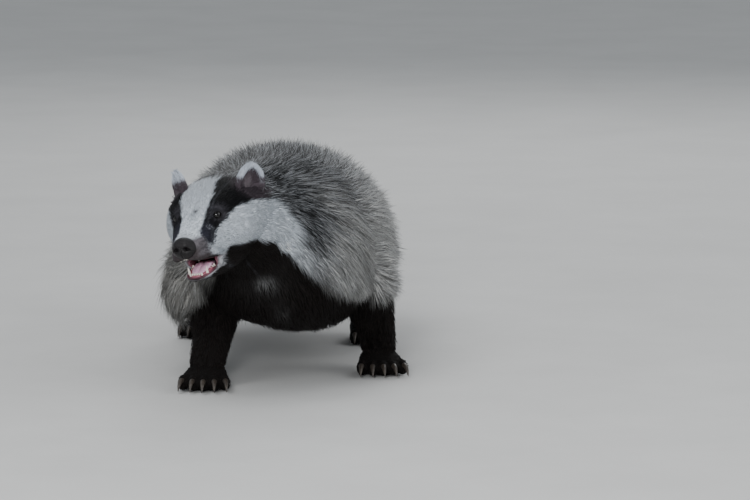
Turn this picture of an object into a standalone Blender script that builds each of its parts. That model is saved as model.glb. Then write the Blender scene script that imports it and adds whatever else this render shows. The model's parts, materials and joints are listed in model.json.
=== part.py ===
"""A standing European badger, life size, as a still museum model.

Metres, +Z up. It faces -Y, its left side is at +X, and its soles are at z = 0.
The body, neck, head, legs and tail are lofts through named stations, softened into one flesh.
Locks of the coat grow out of it, and thin cuts part it into nodes.
"""

import math
import random

import bpy
import bmesh
import numpy as np
from mathutils import Matrix, Vector
from mathutils.bvhtree import BVHTree

random.seed(7)

# Moves the finished model so that its box stands centred over the origin.
TO_ORIGIN = Vector((-0.0075, -0.1390, 0.0))
# The gap kept between neighbouring nodes.
GAP = 0.0003
# Corners in the ring of a body loft, a limb loft and a small loft.
BODY_SIDES = 28
LIMB_SIDES = 16
SMALL_SIDES = 10
# How much of the coat's depth the body fills under its locks.
CORE_SHARE = 0.45
# Locks of the long coat: how far apart they grow where the coat is shortest, how much further
# for each metre of its depth, their share of that on the neck, and the size of the longest.
LOCK_SPACING = 0.0205
SPACING_BY_DEPTH = 0.52
NECK_SPACING = 0.80
LOCK_LENGTH = 0.082
LOCK_WIDTH = 0.0285
LOCK_THICKNESS = 0.0046
LOCK_ROOT = 0.005
LOCK_DROOP = 0.45
# A lock goes straight on where the body ends this share of its length before it.
BEYOND = 0.20
# How far a lock keeps clear of another node.
LOCK_CLEARANCE = 0.0006
# A lock's share of its length, width and thickness at each ring before the tip.
LOCK_PROFILE = ((0.0, 0.55, 1.0), (0.34, 1.0, 0.88), (0.72, 0.70, 0.55))

# The head's own frame has its origin midway between the eyes, -Y to the nose and +Z up.
EYE_MIDPOINT = Vector((-0.0832, -0.195, 0.2072))
HEAD_TURN = math.radians(-20.5)
HEAD_DIP = math.radians(6.5)
HEAD_TILT = math.radians(-8.0)

# Eyes, in the head's frame: a ball of this size looks out of a narrower opening in each side.
EYE = Vector((0.0222, 0.0008, -0.0002))
EYE_RADIUS = 0.0057
EYE_LOOK = Vector((0.62, -0.78, 0.10))
LIDS_RADIUS = 0.0069
LID_OPENING = (0.0049, 0.0041)

# Nose, mouth and jaw, in the head's frame.
NOSE = Vector((0.0, -0.0475, -0.0235))
NOSE_RADII = (0.0136, 0.0105, 0.0120)
NOSTRIL_X = 0.0054
CHEEK = Vector((0.0165, 0.0215, -0.0475))
CHEEK_RADII = (0.0120, 0.0300, 0.0165)
JAW_DROP = math.radians(12.5)
JAW_HINGE = Vector((0.0, 0.052, -0.036))

# How much narrower than its middle the top of the body is.
BODY_EGG = 0.22
# The fullness where the neck runs into the chest, and how far round it the joins are blended most.
THROAT = Vector((-0.008, -0.070, 0.137))
THROAT_RADII = (0.064, 0.050, 0.047)
THROAT_REACH = 0.110
# The shoulder of the foreleg that carries the weight bulges out over it.
SHOULDER = Vector((-0.084, 0.010, 0.104))
SHOULDER_RADII = (0.042, 0.066, 0.052)
# Torso stations from the chest to the rump:
# centre x, y, z, half width, height above, depth below, coat depth, roll in degrees.
TORSO = (
    (-0.012, -0.100, 0.136, 0.034, 0.034, 0.038, 0.008, 3),
    (-0.008, -0.076, 0.138, 0.062, 0.058, 0.064, 0.012, 4),
    (0.002, -0.024, 0.145, 0.089, 0.078, 0.084, 0.020, 8),
    (0.008, 0.040, 0.147, 0.099, 0.084, 0.090, 0.026, 10),
    (0.009, 0.120, 0.143, 0.102, 0.079, 0.087, 0.028, 9),
    (0.008, 0.200, 0.138, 0.103, 0.076, 0.082, 0.028, 6),
    (0.006, 0.280, 0.133, 0.100, 0.072, 0.074, 0.028, 3),
    (0.005, 0.345, 0.129, 0.085, 0.064, 0.061, 0.026, 0),
    (0.006, 0.385, 0.126, 0.058, 0.048, 0.044, 0.022, 0),
    (0.006, 0.408, 0.125, 0.026, 0.024, 0.022, 0.016, 0),
)
# Neck stations from inside the shoulders to inside the head, in the same columns.
NECK = (
    (0.002, 0.010, 0.152, 0.084, 0.078, 0.078, 0.024, 3),
    (-0.009, -0.040, 0.171, 0.076, 0.068, 0.076, 0.022, 0),
    (-0.024, -0.078, 0.188, 0.067, 0.053, 0.068, 0.018, -8),
    (-0.040, -0.108, 0.198, 0.060, 0.041, 0.060, 0.012, -13),
    (-0.054, -0.136, 0.2035, 0.050, 0.034, 0.048, 0.005, -13),
)
# Tail stations from inside the rump to the tip, in the same columns.
TAIL = (
    (0.005, 0.375, 0.142, 0.026, 0.024, 0.026, 0.018, 0),
    (0.006, 0.410, 0.136, 0.021, 0.020, 0.020, 0.020, 0),
    (0.008, 0.446, 0.120, 0.016, 0.015, 0.015, 0.020, 0),
    (0.010, 0.478, 0.099, 0.0125, 0.0120, 0.0120, 0.018, 0),
    (0.011, 0.503, 0.078, 0.0085, 0.0085, 0.0085, 0.012, 0),
    (0.012, 0.516, 0.063, 0.0040, 0.0040, 0.0040, 0.006, 0),
)
# Skull and muzzle stations from the nape to the nose, in the head's frame:
# centre y, z, half width, height above, depth below.
SKULL = (
    (0.112, -0.006, 0.043, 0.029, 0.042),
    (0.084, -0.006, 0.053, 0.0325, 0.048),
    (0.054, -0.009, 0.0555, 0.0345, 0.048),
    (0.026, -0.012, 0.0490, 0.0335, 0.044),
    (0.005, -0.014, 0.0365, 0.0295, 0.036),
    (-0.011, -0.017, 0.0285, 0.0240, 0.0275),
    (-0.028, -0.0205, 0.0225, 0.0175, 0.0205),
    (-0.042, -0.0230, 0.0180, 0.0130, 0.0150),
    (-0.050, -0.0240, 0.0130, 0.0100, 0.0110),
)
# Lower jaw stations from the throat to the chin with the mouth shut, in the same columns.
JAW = (
    (0.078, -0.040, 0.040, 0.014, 0.018),
    (0.048, -0.045, 0.036, 0.012, 0.017),
    (0.018, -0.047, 0.0290, 0.0090, 0.0135),
    (-0.004, -0.0460, 0.0225, 0.0065, 0.0105),
    (-0.018, -0.0445, 0.0182, 0.0060, 0.0070),
    (-0.030, -0.0430, 0.0140, 0.0050, 0.0052),
    (-0.0365, -0.0425, 0.0080, 0.0035, 0.0040),
)
# Leg stations from inside the body to the wrist or heel:
# centre x, y, z, half width, reach forward, reach back.
LEGS = {
    "foreleg_right": (
        (-0.056, -0.004, 0.150, 0.038, 0.046, 0.044),
        (-0.066, -0.010, 0.114, 0.036, 0.040, 0.038),
        (-0.068, -0.018, 0.084, 0.0300, 0.031, 0.031),
        (-0.071, -0.032, 0.055, 0.0250, 0.0240, 0.0245),
        (-0.076, -0.050, 0.031, 0.0225, 0.0200, 0.0205),
        (-0.078, -0.056, 0.015, 0.0205, 0.0180, 0.0170),
    ),
    "foreleg_left": (
        (0.064, 0.016, 0.150, 0.038, 0.046, 0.044),
        (0.086, 0.022, 0.114, 0.036, 0.040, 0.038),
        (0.098, 0.028, 0.084, 0.0300, 0.031, 0.031),
        (0.107, 0.038, 0.055, 0.0245, 0.0240, 0.0245),
        (0.111, 0.047, 0.031, 0.0215, 0.0200, 0.0205),
        (0.112, 0.048, 0.015, 0.0205, 0.0180, 0.0170),
    ),
    "hindleg_right": (
        (-0.054, 0.300, 0.132, 0.046, 0.058, 0.052),
        (-0.078, 0.294, 0.102, 0.037, 0.048, 0.044),
        (-0.087, 0.306, 0.076, 0.029, 0.034, 0.032),
        (-0.089, 0.326, 0.051, 0.0230, 0.0245, 0.0240),
        (-0.089, 0.340, 0.030, 0.0205, 0.0200, 0.0190),
        (-0.089, 0.338, 0.015, 0.0190, 0.0190, 0.0170),
    ),
    "hindleg_left": (
        (0.062, 0.262, 0.132, 0.046, 0.058, 0.052),
        (0.086, 0.250, 0.102, 0.037, 0.048, 0.044),
        (0.095, 0.260, 0.076, 0.029, 0.034, 0.032),
        (0.097, 0.280, 0.051, 0.0230, 0.0245, 0.0240),
        (0.097, 0.294, 0.030, 0.0205, 0.0200, 0.0190),
        (0.097, 0.292, 0.015, 0.0190, 0.0190, 0.0170),
    ),
}
# Each paw: the wrist's or heel's x and y, its turn outwards in degrees, its length to the toes.
PAWS = {
    "forepaw_right": (-0.078, -0.054, -3, 0.040),
    "forepaw_left": (0.112, 0.050, 6, 0.040),
    "hindpaw_right": (-0.089, 0.340, -8, 0.058),
    "hindpaw_left": (0.097, 0.294, 8, 0.058),
}
PAW_HALF_WIDTH = 0.0275
TOES = 5
FORE_CLAW = 0.025
HIND_CLAW = 0.015
WRIST_HEIGHT = 0.030

# Ears, in the head's frame: the base's centre, the cup's radii, its wall, lean and facing.
EAR_BASE = Vector((0.0412, 0.060, 0.0125))
EAR_RADII = (0.0185, 0.0070, 0.0285)
EAR_WALL = 0.0036
EAR_LEAN = math.radians(11.0)
EAR_FACING = math.radians(50.0)

# Where the cuts between nodes lie: the head's and the jaw's in the head's frame.
HEAD_CUT = Vector((0.0, 0.088, 0.0))
HEAD_CUT_LEAN = math.radians(22.0)
JAW_CUT = Vector((0.0, -0.020, -0.0445))
JAW_CUT_SLOPE = math.radians(-17.0)
SHOULDER_CUT = Vector((-0.019, -0.056, 0.176))
SHOULDER_NORMAL = Vector((0.36, 0.82, -0.46))
TAIL_CUT = Vector((0.007, 0.430, 0.128))
TAIL_NORMAL = Vector((0.03, 0.93, -0.36))
# The dome that parts each leg from the body: centre x and y, reach across and along.
LEG_DOMES = {
    "foreleg_right": (-0.070, -0.016, 0.046, 0.058),
    "foreleg_left": (0.098, 0.030, 0.045, 0.058),
    "hindleg_right": (-0.083, 0.312, 0.047, 0.068),
    "hindleg_left": (0.092, 0.270, 0.046, 0.068),
}
DOME_SPRING = 0.078
DOME_TOP = 0.122
DOME_RIM = 0.034


def clear_scene():
    for obj in list(bpy.data.objects):
        bpy.data.objects.remove(obj)


def material(name, colour, roughness):
    made = bpy.data.materials.new(name)
    made.use_nodes = True
    shader = made.node_tree.nodes["Principled BSDF"]
    shader.inputs["Base Color"].default_value = (*colour, 1.0)
    shader.inputs["Roughness"].default_value = roughness
    return made


def new_object(name, bm, collection):
    """An object from a bmesh, with its faces pointing out."""
    bmesh.ops.recalc_face_normals(bm, faces=bm.faces)
    mesh = bpy.data.meshes.new(name)
    bm.to_mesh(mesh)
    bm.free()
    obj = bpy.data.objects.new(name, mesh)
    collection.objects.link(obj)
    return obj


def curve_through(stations, steps):
    """Rows on a smooth curve through the stations, with steps rows from one to the next."""
    rows = np.array(stations, float)
    padded = np.vstack([2 * rows[0] - rows[1], rows, 2 * rows[-1] - rows[-2]])
    out = []
    for i in range(1, len(padded) - 2):
        before, start, end, after = padded[i - 1:i + 3]
        for t in np.linspace(0, 1, steps, endpoint=False):
            out.append(
                0.5 * (2 * start + (end - before) * t
                       + (2 * before - 5 * start + 4 * end - after) * t ** 2
                       + (3 * start - before - 3 * end + after) * t ** 3))
    out.append(rows[-1])
    return np.array(out)


def ring_points(centre, side, up, width, above, below, sides, power=2.3, egg=0.0):
    """A rounded ring in the plane of side and up. egg narrows its top and widens its foot."""
    points = []
    for k in range(sides):
        angle = 2 * math.pi * k / sides
        c, s = math.cos(angle), math.sin(angle)
        x = math.copysign(abs(c) ** (2 / power), c) * width * (1 - egg * s)
        z = math.copysign(abs(s) ** (2 / power), s) * (above if s > 0 else below)
        points.append(centre + side * x + up * z)
    return points


def loft(name, rings, collection):
    """A closed tube through rings of points, with a fan at each end."""
    bm = bmesh.new()
    rows = [[bm.verts.new(p) for p in ring] for ring in rings]
    count = len(rows[0])
    for first, second in zip(rows, rows[1:]):
        for k in range(count):
            n = (k + 1) % count
            bm.faces.new((first[k], first[n], second[n], second[k]))
    for row, ring in ((rows[0], rings[0]), (rows[-1], rings[-1])):
        centre = bm.verts.new(sum(ring, Vector()) / count)
        for k in range(count):
            bm.faces.new((centre, row[k], row[(k + 1) % count]))
    return new_object(name, bm, collection)


def path_frames(centres, rolls):
    """Side and up axes across a path, each turned about the path by its roll in degrees."""
    frames = []
    for i, roll in enumerate(rolls):
        ahead = centres[min(i + 1, len(centres) - 1)]
        behind = centres[max(i - 1, 0)]
        along = (ahead - behind).normalized()
        side = along.cross(Vector((0, 0, 1))).normalized()
        turn = Matrix.Rotation(math.radians(roll), 3, along)
        frames.append((turn @ side, turn @ side.cross(along)))
    return frames


def body_rings(stations, steps, sides, coat_share):
    """Rings of a body loft, out from the skin by that share of the coat's depth."""
    rows = curve_through(stations, steps)
    centres = [Vector(row[:3]) for row in rows]
    rings = []
    for row, centre, (side, up) in zip(rows, centres, path_frames(centres, rows[:, 7])):
        coat = row[6] * coat_share
        rings.append(ring_points(centre, side, up, row[3] + coat, row[4] + coat,
                                 row[5] + coat * 0.5, sides, egg=BODY_EGG))
    return rings


def leg_rings(stations, steps):
    rows = curve_through(stations, steps)
    return [ring_points(Vector(row[:3]), Vector((1, 0, 0)), Vector((0, -1, 0)),
                        row[3], row[4], row[5], LIMB_SIDES) for row in rows]


def head_frame():
    return (Matrix.Translation(EYE_MIDPOINT) @ Matrix.Rotation(HEAD_TURN, 4, "Z")
            @ Matrix.Rotation(HEAD_DIP, 4, "X") @ Matrix.Rotation(HEAD_TILT, 4, "Y"))


def jaw_frame():
    """The head's frame turned about the jaw's hinge, which opens the shut lower jaw."""
    return (head_frame() @ Matrix.Translation(JAW_HINGE)
            @ Matrix.Rotation(JAW_DROP, 4, "X") @ Matrix.Translation(-JAW_HINGE))


def head_rings(stations, steps, sides, frame):
    rings = []
    for y, z, width, above, below in curve_through(stations, steps):
        ring = ring_points(Vector((0, y, z)), Vector((1, 0, 0)), Vector((0, 0, 1)),
                           width, above, below, sides)
        rings.append([frame @ p for p in ring])
    return rings


def ellipsoid(name, centre, radii, frame, collection, segments=16):
    bm = bmesh.new()
    bmesh.ops.create_uvsphere(bm, u_segments=segments, v_segments=segments // 2, radius=1.0)
    place = frame @ Matrix.Translation(centre) @ Matrix.Diagonal((*radii, 1.0))
    bmesh.ops.transform(bm, matrix=place, verts=bm.verts)
    return new_object(name, bm, collection)


def box(name, frame, sizes, collection):
    bm = bmesh.new()
    bmesh.ops.create_cube(bm, size=1.0)
    bmesh.ops.transform(bm, matrix=frame @ Matrix.Diagonal((*sizes, 1.0)), verts=bm.verts)
    return new_object(name, bm, collection)


def frame_at(centre, normal):
    """A frame whose z axis is the normal and whose y axis is as upright as it can be."""
    z = Vector(normal).normalized()
    x = Vector((0, 0, 1)).cross(z)
    x = x.normalized() if x.length > 1e-3 else Vector((1, 0, 0))
    frame = Matrix((x, z.cross(x), z)).transposed().to_4x4()
    frame.translation = centre
    return frame


def slab(name, frame, half_width, half_height, collection):
    """A thin cutter across the frame's z axis."""
    return box(name, frame, (2 * half_width, 2 * half_height, GAP), collection)


def dome(name, x, y, across, along, collection):
    """A thin cutter like an upturned cup with an open foot."""
    bm = bmesh.new()
    sides = 18
    levels = [(DOME_RIM, 1.0), (DOME_SPRING, 1.0)]
    for k in range(1, 4):
        angle = math.pi / 2 * k / 4
        levels.append((DOME_SPRING + (DOME_TOP - DOME_SPRING) * math.sin(angle), math.cos(angle)))
    walls = []
    for inset in (0.0, GAP):
        rings = [[bm.verts.new((x + (across - inset) * share * math.cos(2 * math.pi * k / sides),
                                y + (along - inset) * share * math.sin(2 * math.pi * k / sides),
                                z - (inset if z > DOME_SPRING else 0.0)))
                  for k in range(sides)] for z, share in levels]
        top = bm.verts.new((x, y, DOME_TOP - inset))
        for first, second in zip(rings, rings[1:]):
            for k in range(sides):
                n = (k + 1) % sides
                bm.faces.new((first[k], first[n], second[n], second[k]))
        for k in range(sides):
            bm.faces.new((rings[-1][k], rings[-1][(k + 1) % sides], top))
        walls.append(rings[0])
    for k in range(sides):
        n = (k + 1) % sides
        bm.faces.new((walls[0][k], walls[1][k], walls[1][n], walls[0][n]))
    return new_object(name, bm, collection)


def horn(name, points, radii, sides, collection):
    """A tapered, bent cone through points, such as a claw or a tooth."""
    bm = bmesh.new()
    rows = []
    for i, radius in enumerate(radii):
        along = (points[i + 1] - points[max(i - 1, 0)]).normalized()
        side = along.cross(Vector((0.1, 0.2, 1))).normalized()
        up = side.cross(along)
        rows.append([
            bm.verts.new(points[i] + side * radius * math.cos(a) + up * radius * math.sin(a))
            for a in (2 * math.pi * k / sides for k in range(sides))])
    for first, second in zip(rows, rows[1:]):
        for k in range(sides):
            n = (k + 1) % sides
            bm.faces.new((first[k], first[n], second[n], second[k]))
    tip = bm.verts.new(points[len(radii)])
    for k in range(sides):
        bm.faces.new((tip, rows[-1][k], rows[-1][(k + 1) % sides]))
    bm.faces.new(rows[0])
    return new_object(name, bm, collection)


def apply_modifiers(obj):
    bpy.context.view_layer.update()
    graph = bpy.context.evaluated_depsgraph_get()
    mesh = bpy.data.meshes.new_from_object(obj.evaluated_get(graph))
    obj.modifiers.clear()
    obj.data = mesh


def combine(obj, others, operation):
    """One Boolean of a collection on an object, then the collection's objects are removed."""
    modifier = obj.modifiers.new(operation.title(), "BOOLEAN")
    modifier.operation = operation
    modifier.operand_type = "COLLECTION"
    modifier.collection = others
    modifier.solver = "MANIFOLD"
    apply_modifiers(obj)
    for other in list(others.objects):
        bpy.data.objects.remove(other)


def soften(obj, voxel, rounds, triangles, weight=None):
    """Blends the joins of a union and keeps about that many triangles.

    weight gives a point's share of the blending from 0 to 1."""
    remesh = obj.modifiers.new("Remesh", "REMESH")
    remesh.mode = "VOXEL"
    remesh.voxel_size = voxel
    apply_modifiers(obj)
    smooth = obj.modifiers.new("Smooth", "SMOOTH")
    smooth.factor = 0.5
    smooth.iterations = rounds
    if weight:
        share = obj.vertex_groups.new(name="soft")
        for vert in obj.data.vertices:
            share.add([vert.index], weight(vert.co), "REPLACE")
        smooth.vertex_group = share.name
    apply_modifiers(obj)
    decimate = obj.modifiers.new("Decimate", "DECIMATE")
    decimate.ratio = triangles / (2 * len(obj.data.polygons))
    decimate.use_collapse_triangulate = True
    apply_modifiers(obj)


def grown(obj, distance, collection):
    """A copy of an object, with its surface moved out by a distance."""
    copy = obj.copy()
    copy.data = obj.data.copy()
    collection.objects.link(copy)
    displace = copy.modifiers.new("Displace", "DISPLACE")
    displace.strength = distance
    displace.mid_level = 0.0
    apply_modifiers(copy)
    return copy


def shells_of(mesh):
    """The mesh's closed surfaces as lists of faces of a bmesh, largest volume first."""
    bm = bmesh.new()
    bm.from_mesh(mesh)
    bmesh.ops.triangulate(bm, faces=bm.faces)
    bm.verts.index_update()
    left = set(bm.faces)
    shells = []
    for seed in bm.faces:
        if seed not in left:
            continue
        left.discard(seed)
        stack = [seed]
        shell = [seed]
        while stack:
            for edge in stack.pop().edges:
                for face in edge.link_faces:
                    if face in left:
                        left.discard(face)
                        stack.append(face)
                        shell.append(face)
        shells.append(shell)
    return bm, sorted(shells, key=lambda shell: -volume_of(shell))


def volume_of(faces):
    total = 0.0
    for face in faces:
        a, b, c = (v.co for v in face.verts)
        total += a.dot(b.cross(c)) / 6
    return total


def shell_object(name, faces, collection, finish):
    """An object of its own from one closed surface."""
    numbers = {}
    points = []
    corners = []
    for face in sorted(faces, key=lambda f: f.index):
        row = []
        for vert in face.verts:
            if vert.index not in numbers:
                numbers[vert.index] = len(points)
                points.append(vert.co.copy())
            row.append(numbers[vert.index])
        corners.append(row)
    mesh = bpy.data.meshes.new(name)
    mesh.from_pydata(points, [], corners)
    mesh.update()
    mesh.materials.append(finish)
    obj = bpy.data.objects.new(name, mesh)
    collection.objects.link(obj)
    obj.name = name
    return obj


def holds(faces, point):
    """True where a ray from the point crosses the closed surface an odd number of times."""
    numbers = {}
    corners = [[numbers.setdefault(v, len(numbers)) for v in face.verts] for face in faces]
    tree = BVHTree.FromPolygons([v.co for v in numbers], corners)
    direction = Vector((0.31, 0.52, 0.79)).normalized()
    hits = 0
    start = Vector(point)
    while True:
        found = tree.ray_cast(start, direction)
        if found[0] is None:
            return hits % 2 == 1
        hits += 1
        start = found[0] + direction * 1e-6


def part_nodes(obj, nodes):
    """Makes each named node from the closed surface that holds the node's own point."""
    bm, shells = shells_of(obj.data)
    bpy.data.objects.remove(obj)
    made = {}
    for name, (point, finish) in nodes.items():
        for shell in shells:
            if holds(shell, point):
                made[name] = shell_object(name, shell, MAIN, finish)
                break
        else:
            print("no surface holds", name)
    bm.free()
    return made


def keep_largest(obj, finish):
    bm, shells = shells_of(obj.data)
    name = obj.name
    bpy.data.objects.remove(obj)
    made = shell_object(name, shells[0], MAIN, finish)
    bm.free()
    return made


def paw_frame(paw):
    x, y, turn, _ = PAWS[paw]
    return Matrix.Translation((x, y, 0)) @ Matrix.Rotation(math.radians(turn), 4, "Z")


def add_paw(paw, collection):
    """A paw's palm and toes. Its frame has -Y to the toes and z = 0 at the floor."""
    frame = paw_frame(paw)
    length = PAWS[paw][3]
    wide = PAW_HALF_WIDTH if paw.startswith("fore") else PAW_HALF_WIDTH * 0.88
    rows = (
        (0.016, 0.0115, wide * 0.55, 0.008, 0.0125),
        (0.006, 0.0135, wide * 0.78, 0.012, 0.0150),
        (-length * 0.35, 0.0130, wide * 0.90, 0.012, 0.0145),
        (-length * 0.70, 0.0115, wide * 0.98, 0.0090, 0.0130),
        (-length * 0.92, 0.0100, wide * 0.90, 0.0065, 0.0110),
    )
    loft(paw, head_rings(rows, 2, LIMB_SIDES, frame), collection)
    for x, y, out in toes(paw):
        spread = Matrix.Translation((x, y, 0.0092)) @ out.to_track_quat("-Y", "Z").to_matrix().to_4x4()
        ellipsoid("toe", Vector(), (0.0064, 0.0130, 0.0092), frame @ spread, collection, 12)


def toes(paw):
    """Each toe's x and y in the paw's frame, and the way that it points."""
    length = PAWS[paw][3]
    wide = PAW_HALF_WIDTH if paw.startswith("fore") else PAW_HALF_WIDTH * 0.88
    for k in range(TOES):
        across = 2 * k / (TOES - 1) - 1
        fan = math.radians(9.0) * across
        yield across * wide * 0.82, 0.006 * across ** 2 - length, Vector((math.sin(fan), -math.cos(fan), 0))


def add_claws(paw, collection):
    frame = paw_frame(paw)
    claw = FORE_CLAW if paw.startswith("fore") else HIND_CLAW
    for x, y, out in toes(paw):
        root = Vector((x, y, 0.0110)) + out * 0.005
        size = claw * random.uniform(0.92, 1.04)
        reach = (0.0, 0.42, 0.78, 1.0)
        rise = (0.0, 0.0014, -0.0022, -0.0088)
        points = [frame @ (root + out * size * r + Vector((0, 0, h)))
                  for r, h in zip(reach, rise)]
        horn("claw", points, (0.0036, 0.0029, 0.0018), 5, collection)


def add_teeth(collection):
    """The upper and lower canines and the lower incisors, with their roots in the gums."""
    upper, lower = head_frame(), jaw_frame()
    for side in (-1, 1):
        root = Vector((side * 0.0110, -0.0410, -0.0310))
        horn("upper_canine", [upper @ (root + Vector((0, -0.001 * t, -0.0130 * t)))
                              for t in (0, 0.5, 1)], (0.0025, 0.0019), 6, collection)
        root = Vector((side * 0.0090, -0.0325, -0.0445))
        horn("lower_canine", [lower @ (root + Vector((side * 0.001 * t, 0, 0.0125 * t)))
                              for t in (0, 0.5, 1)], (0.0024, 0.0018), 6, collection)
    for k in range(6):
        x = (k - 2.5) * 0.0024
        root = Vector((x, -0.0355 + 12 * x * x, -0.0440))
        horn("incisor", [lower @ (root + Vector((0, 0, 0.0080 * t))) for t in (0, 0.6, 1)],
             (0.0012, 0.0011), 6, collection)


def add_lips(collection):
    """A soft fold along each side of the upper mouth, from the nose to the corner."""
    rows = ((0.0040, -0.0500, -0.0330, 1.0), (0.0120, -0.0450, -0.0350, 1.0),
            (0.0165, -0.0330, -0.0370, 0.95), (0.0195, -0.0200, -0.0390, 0.85),
            (0.0205, -0.0080, -0.0405, 0.60), (0.0200, 0.0020, -0.0410, 0.30))
    for side in (-1, 1):
        rings = []
        for x, y, z, full in curve_through(rows, 2):
            ring = ring_points(Vector((side * x, y, z)), Vector((1, 0, 0)), Vector((0, 0, 1)),
                               0.0042 * full, 0.0085, 0.0036 * full, SMALL_SIDES)
            rings.append([head_frame() @ p for p in ring])
        loft("upper_lip", rings, collection)


def add_cheeks(collection):
    """The cheek that closes the mouth behind each corner."""
    for side in (-1, 1):
        x, y, z = CHEEK
        ellipsoid("cheek", Vector((side * x, y, z)), CHEEK_RADII, head_frame(), collection, 20)


def eye_frame(side):
    """The eye's frame, whose -Y axis is the way that it looks."""
    look = Vector((side * EYE_LOOK.x, EYE_LOOK.y, EYE_LOOK.z))
    turn = look.to_track_quat("-Y", "Z").to_matrix().to_4x4()
    return head_frame() @ Matrix.Translation((side * EYE.x, EYE.y, EYE.z)) @ turn


def add_lids(collection):
    """A low swelling round each eye."""
    for side in (-1, 1):
        ellipsoid("lids", Vector(), (LIDS_RADIUS * 1.15, LIDS_RADIUS, LIDS_RADIUS),
                  eye_frame(side), collection, 16)


def eye_cutters(collection):
    """The socket, and the opening between the lids."""
    wide, high = LID_OPENING
    for side in (-1, 1):
        ellipsoid("socket", Vector(), [EYE_RADIUS + GAP * 1.5] * 3, eye_frame(side), collection, 16)
        ellipsoid("opening", Vector((0, -EYE_RADIUS, 0)), (wide, EYE_RADIUS * 0.8, high),
                  eye_frame(side), collection, 16)


def mouth_cutters(collection):
    """The hollow of the mouth, above and below."""
    ellipsoid("palate", Vector((0, -0.018, -0.0400)), (0.0155, 0.0290, 0.0090), head_frame(),
              collection, 16)
    ellipsoid("throat", Vector((0, 0.010, -0.0480)), (0.0140, 0.0260, 0.0090), head_frame(),
              collection, 16)
    ellipsoid("tray", Vector((0, -0.010, -0.0370)), (0.0125, 0.0270, 0.0085), jaw_frame(),
              collection, 16)


def ear_parts(side, cups, hollows):
    """The ear's cup and its hollow, which faces forwards and out."""
    base = Vector((side * EAR_BASE.x, EAR_BASE.y, EAR_BASE.z))
    frame = (head_frame() @ Matrix.Translation(base)
             @ Matrix.Rotation(side * EAR_FACING, 4, "Z") @ Matrix.Rotation(side * EAR_LEAN, 4, "Y"))
    wide, deep, high = EAR_RADII
    cup = ellipsoid("cup", Vector((0, 0, 0)), (wide, deep, high), frame, cups, 16)
    ellipsoid("hollow", Vector((side * 0.0004, -deep * 0.75, 0.0015)),
              (wide - EAR_WALL, deep * 1.15, high - EAR_WALL * 1.2), frame, hollows, 14)
    return cup


def core_of(obj):
    """A surface to plant locks on: its tree, its triangles' smooth normals and their corners."""
    mesh = obj.data
    tree = BVHTree.FromPolygons([v.co for v in mesh.vertices],
                                [list(face.vertices) for face in mesh.polygons])
    normals = []
    corners = []
    for face in mesh.polygons:
        verts = [mesh.vertices[i] for i in face.vertices]
        normals.append(sum((v.normal for v in verts), Vector()).normalized())
        corners.append([v.co.copy() for v in verts])
    return tree, normals, corners


def spine():
    """Rows down the middle of the neck, body and tail: the place, the coat's depth, the girth."""
    rows = [row for row in curve_through(NECK, 8)[::-1] if row[1] < -0.030]
    rows += [row for row in curve_through(TORSO, 8) if -0.024 < row[1] < 0.370]
    rows += [row for row in curve_through(TAIL, 8) if row[1] > 0.405]
    return [(Vector(row[:3]), row[6], row[3]) for row in rows]


def coat_at(place, normal):
    """The way that the coat lies at a place on the body, its depth and the body's half width."""
    nearest = min(range(1, len(SPINE) - 1), key=lambda i: (SPINE[i][0] - place).length)
    along = (SPINE[nearest + 1][0] - SPINE[nearest - 1][0]).normalized()
    droop = 0.0 if place.y > TAIL_CUT.y else LOCK_DROOP * normal.x ** 2
    lie = along + Vector((0, 0, -droop))
    return (lie - normal * lie.dot(normal)).normalized(), *SPINE[nearest][1:]


def coat_edge(point):
    """How far down the long coat grows: low on the flanks, higher on the chest and the legs."""
    if point.y < 0.0:
        return max(0.178 - 0.80 * abs(point.x), 0.086 if point.x > 0 else 0.062)
    reach = min(abs(point.y - sizes[1]) for leg, sizes in LEG_DOMES.items()
                if (sizes[0] > 0) == (point.x > 0))
    return 0.056 if reach > 0.068 else 0.088


def behind(point, centre, normal):
    """How far a point lies past a plane, along its normal."""
    return (point - centre).dot(normal.normalized())


def coat_node(point, normal):
    """The node whose long coat grows at a point of the body, or nothing."""
    past_shoulder = behind(point, SHOULDER_CUT, SHOULDER_NORMAL)
    past_tail_root = behind(point, TAIL_CUT, TAIL_NORMAL)
    nape = head_frame().inverted() @ point - HEAD_CUT
    past_nape = nape.y * math.cos(HEAD_CUT_LEAN) - nape.z * math.sin(HEAD_CUT_LEAN)
    if past_tail_root > 0.004:
        return "tail"
    if past_tail_root > -0.006 or past_nape < 0.003 or abs(past_shoulder) < 0.004:
        return None
    if normal.z < -0.6 or normal.y < -0.96 or point.z < coat_edge(point):
        return None
    return "torso" if past_shoulder > 0 else "neck"


def coat_roots(core):
    """Places spread evenly over the long coat: each one's node, point and normal."""
    _, normals, corners = core
    areas = [(b - a).cross(c - a).length for a, b, c in corners]
    roots = []
    for k in random.choices(range(len(corners)), areas, k=7000):
        a, b, c = corners[k]
        s, t = random.random() ** 0.5, random.random()
        point = a * (1 - s) + b * (s * (1 - t)) + c * (s * t)
        node = coat_node(point, normals[k])
        if node is None:
            continue
        gap = LOCK_SPACING + SPACING_BY_DEPTH * coat_at(point, normals[k])[1]
        gap *= NECK_SPACING if node == "neck" else 1.0
        if all((point - other).length > gap for _, other, _ in roots):
            roots.append((node, point, normals[k]))
    return roots


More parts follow.
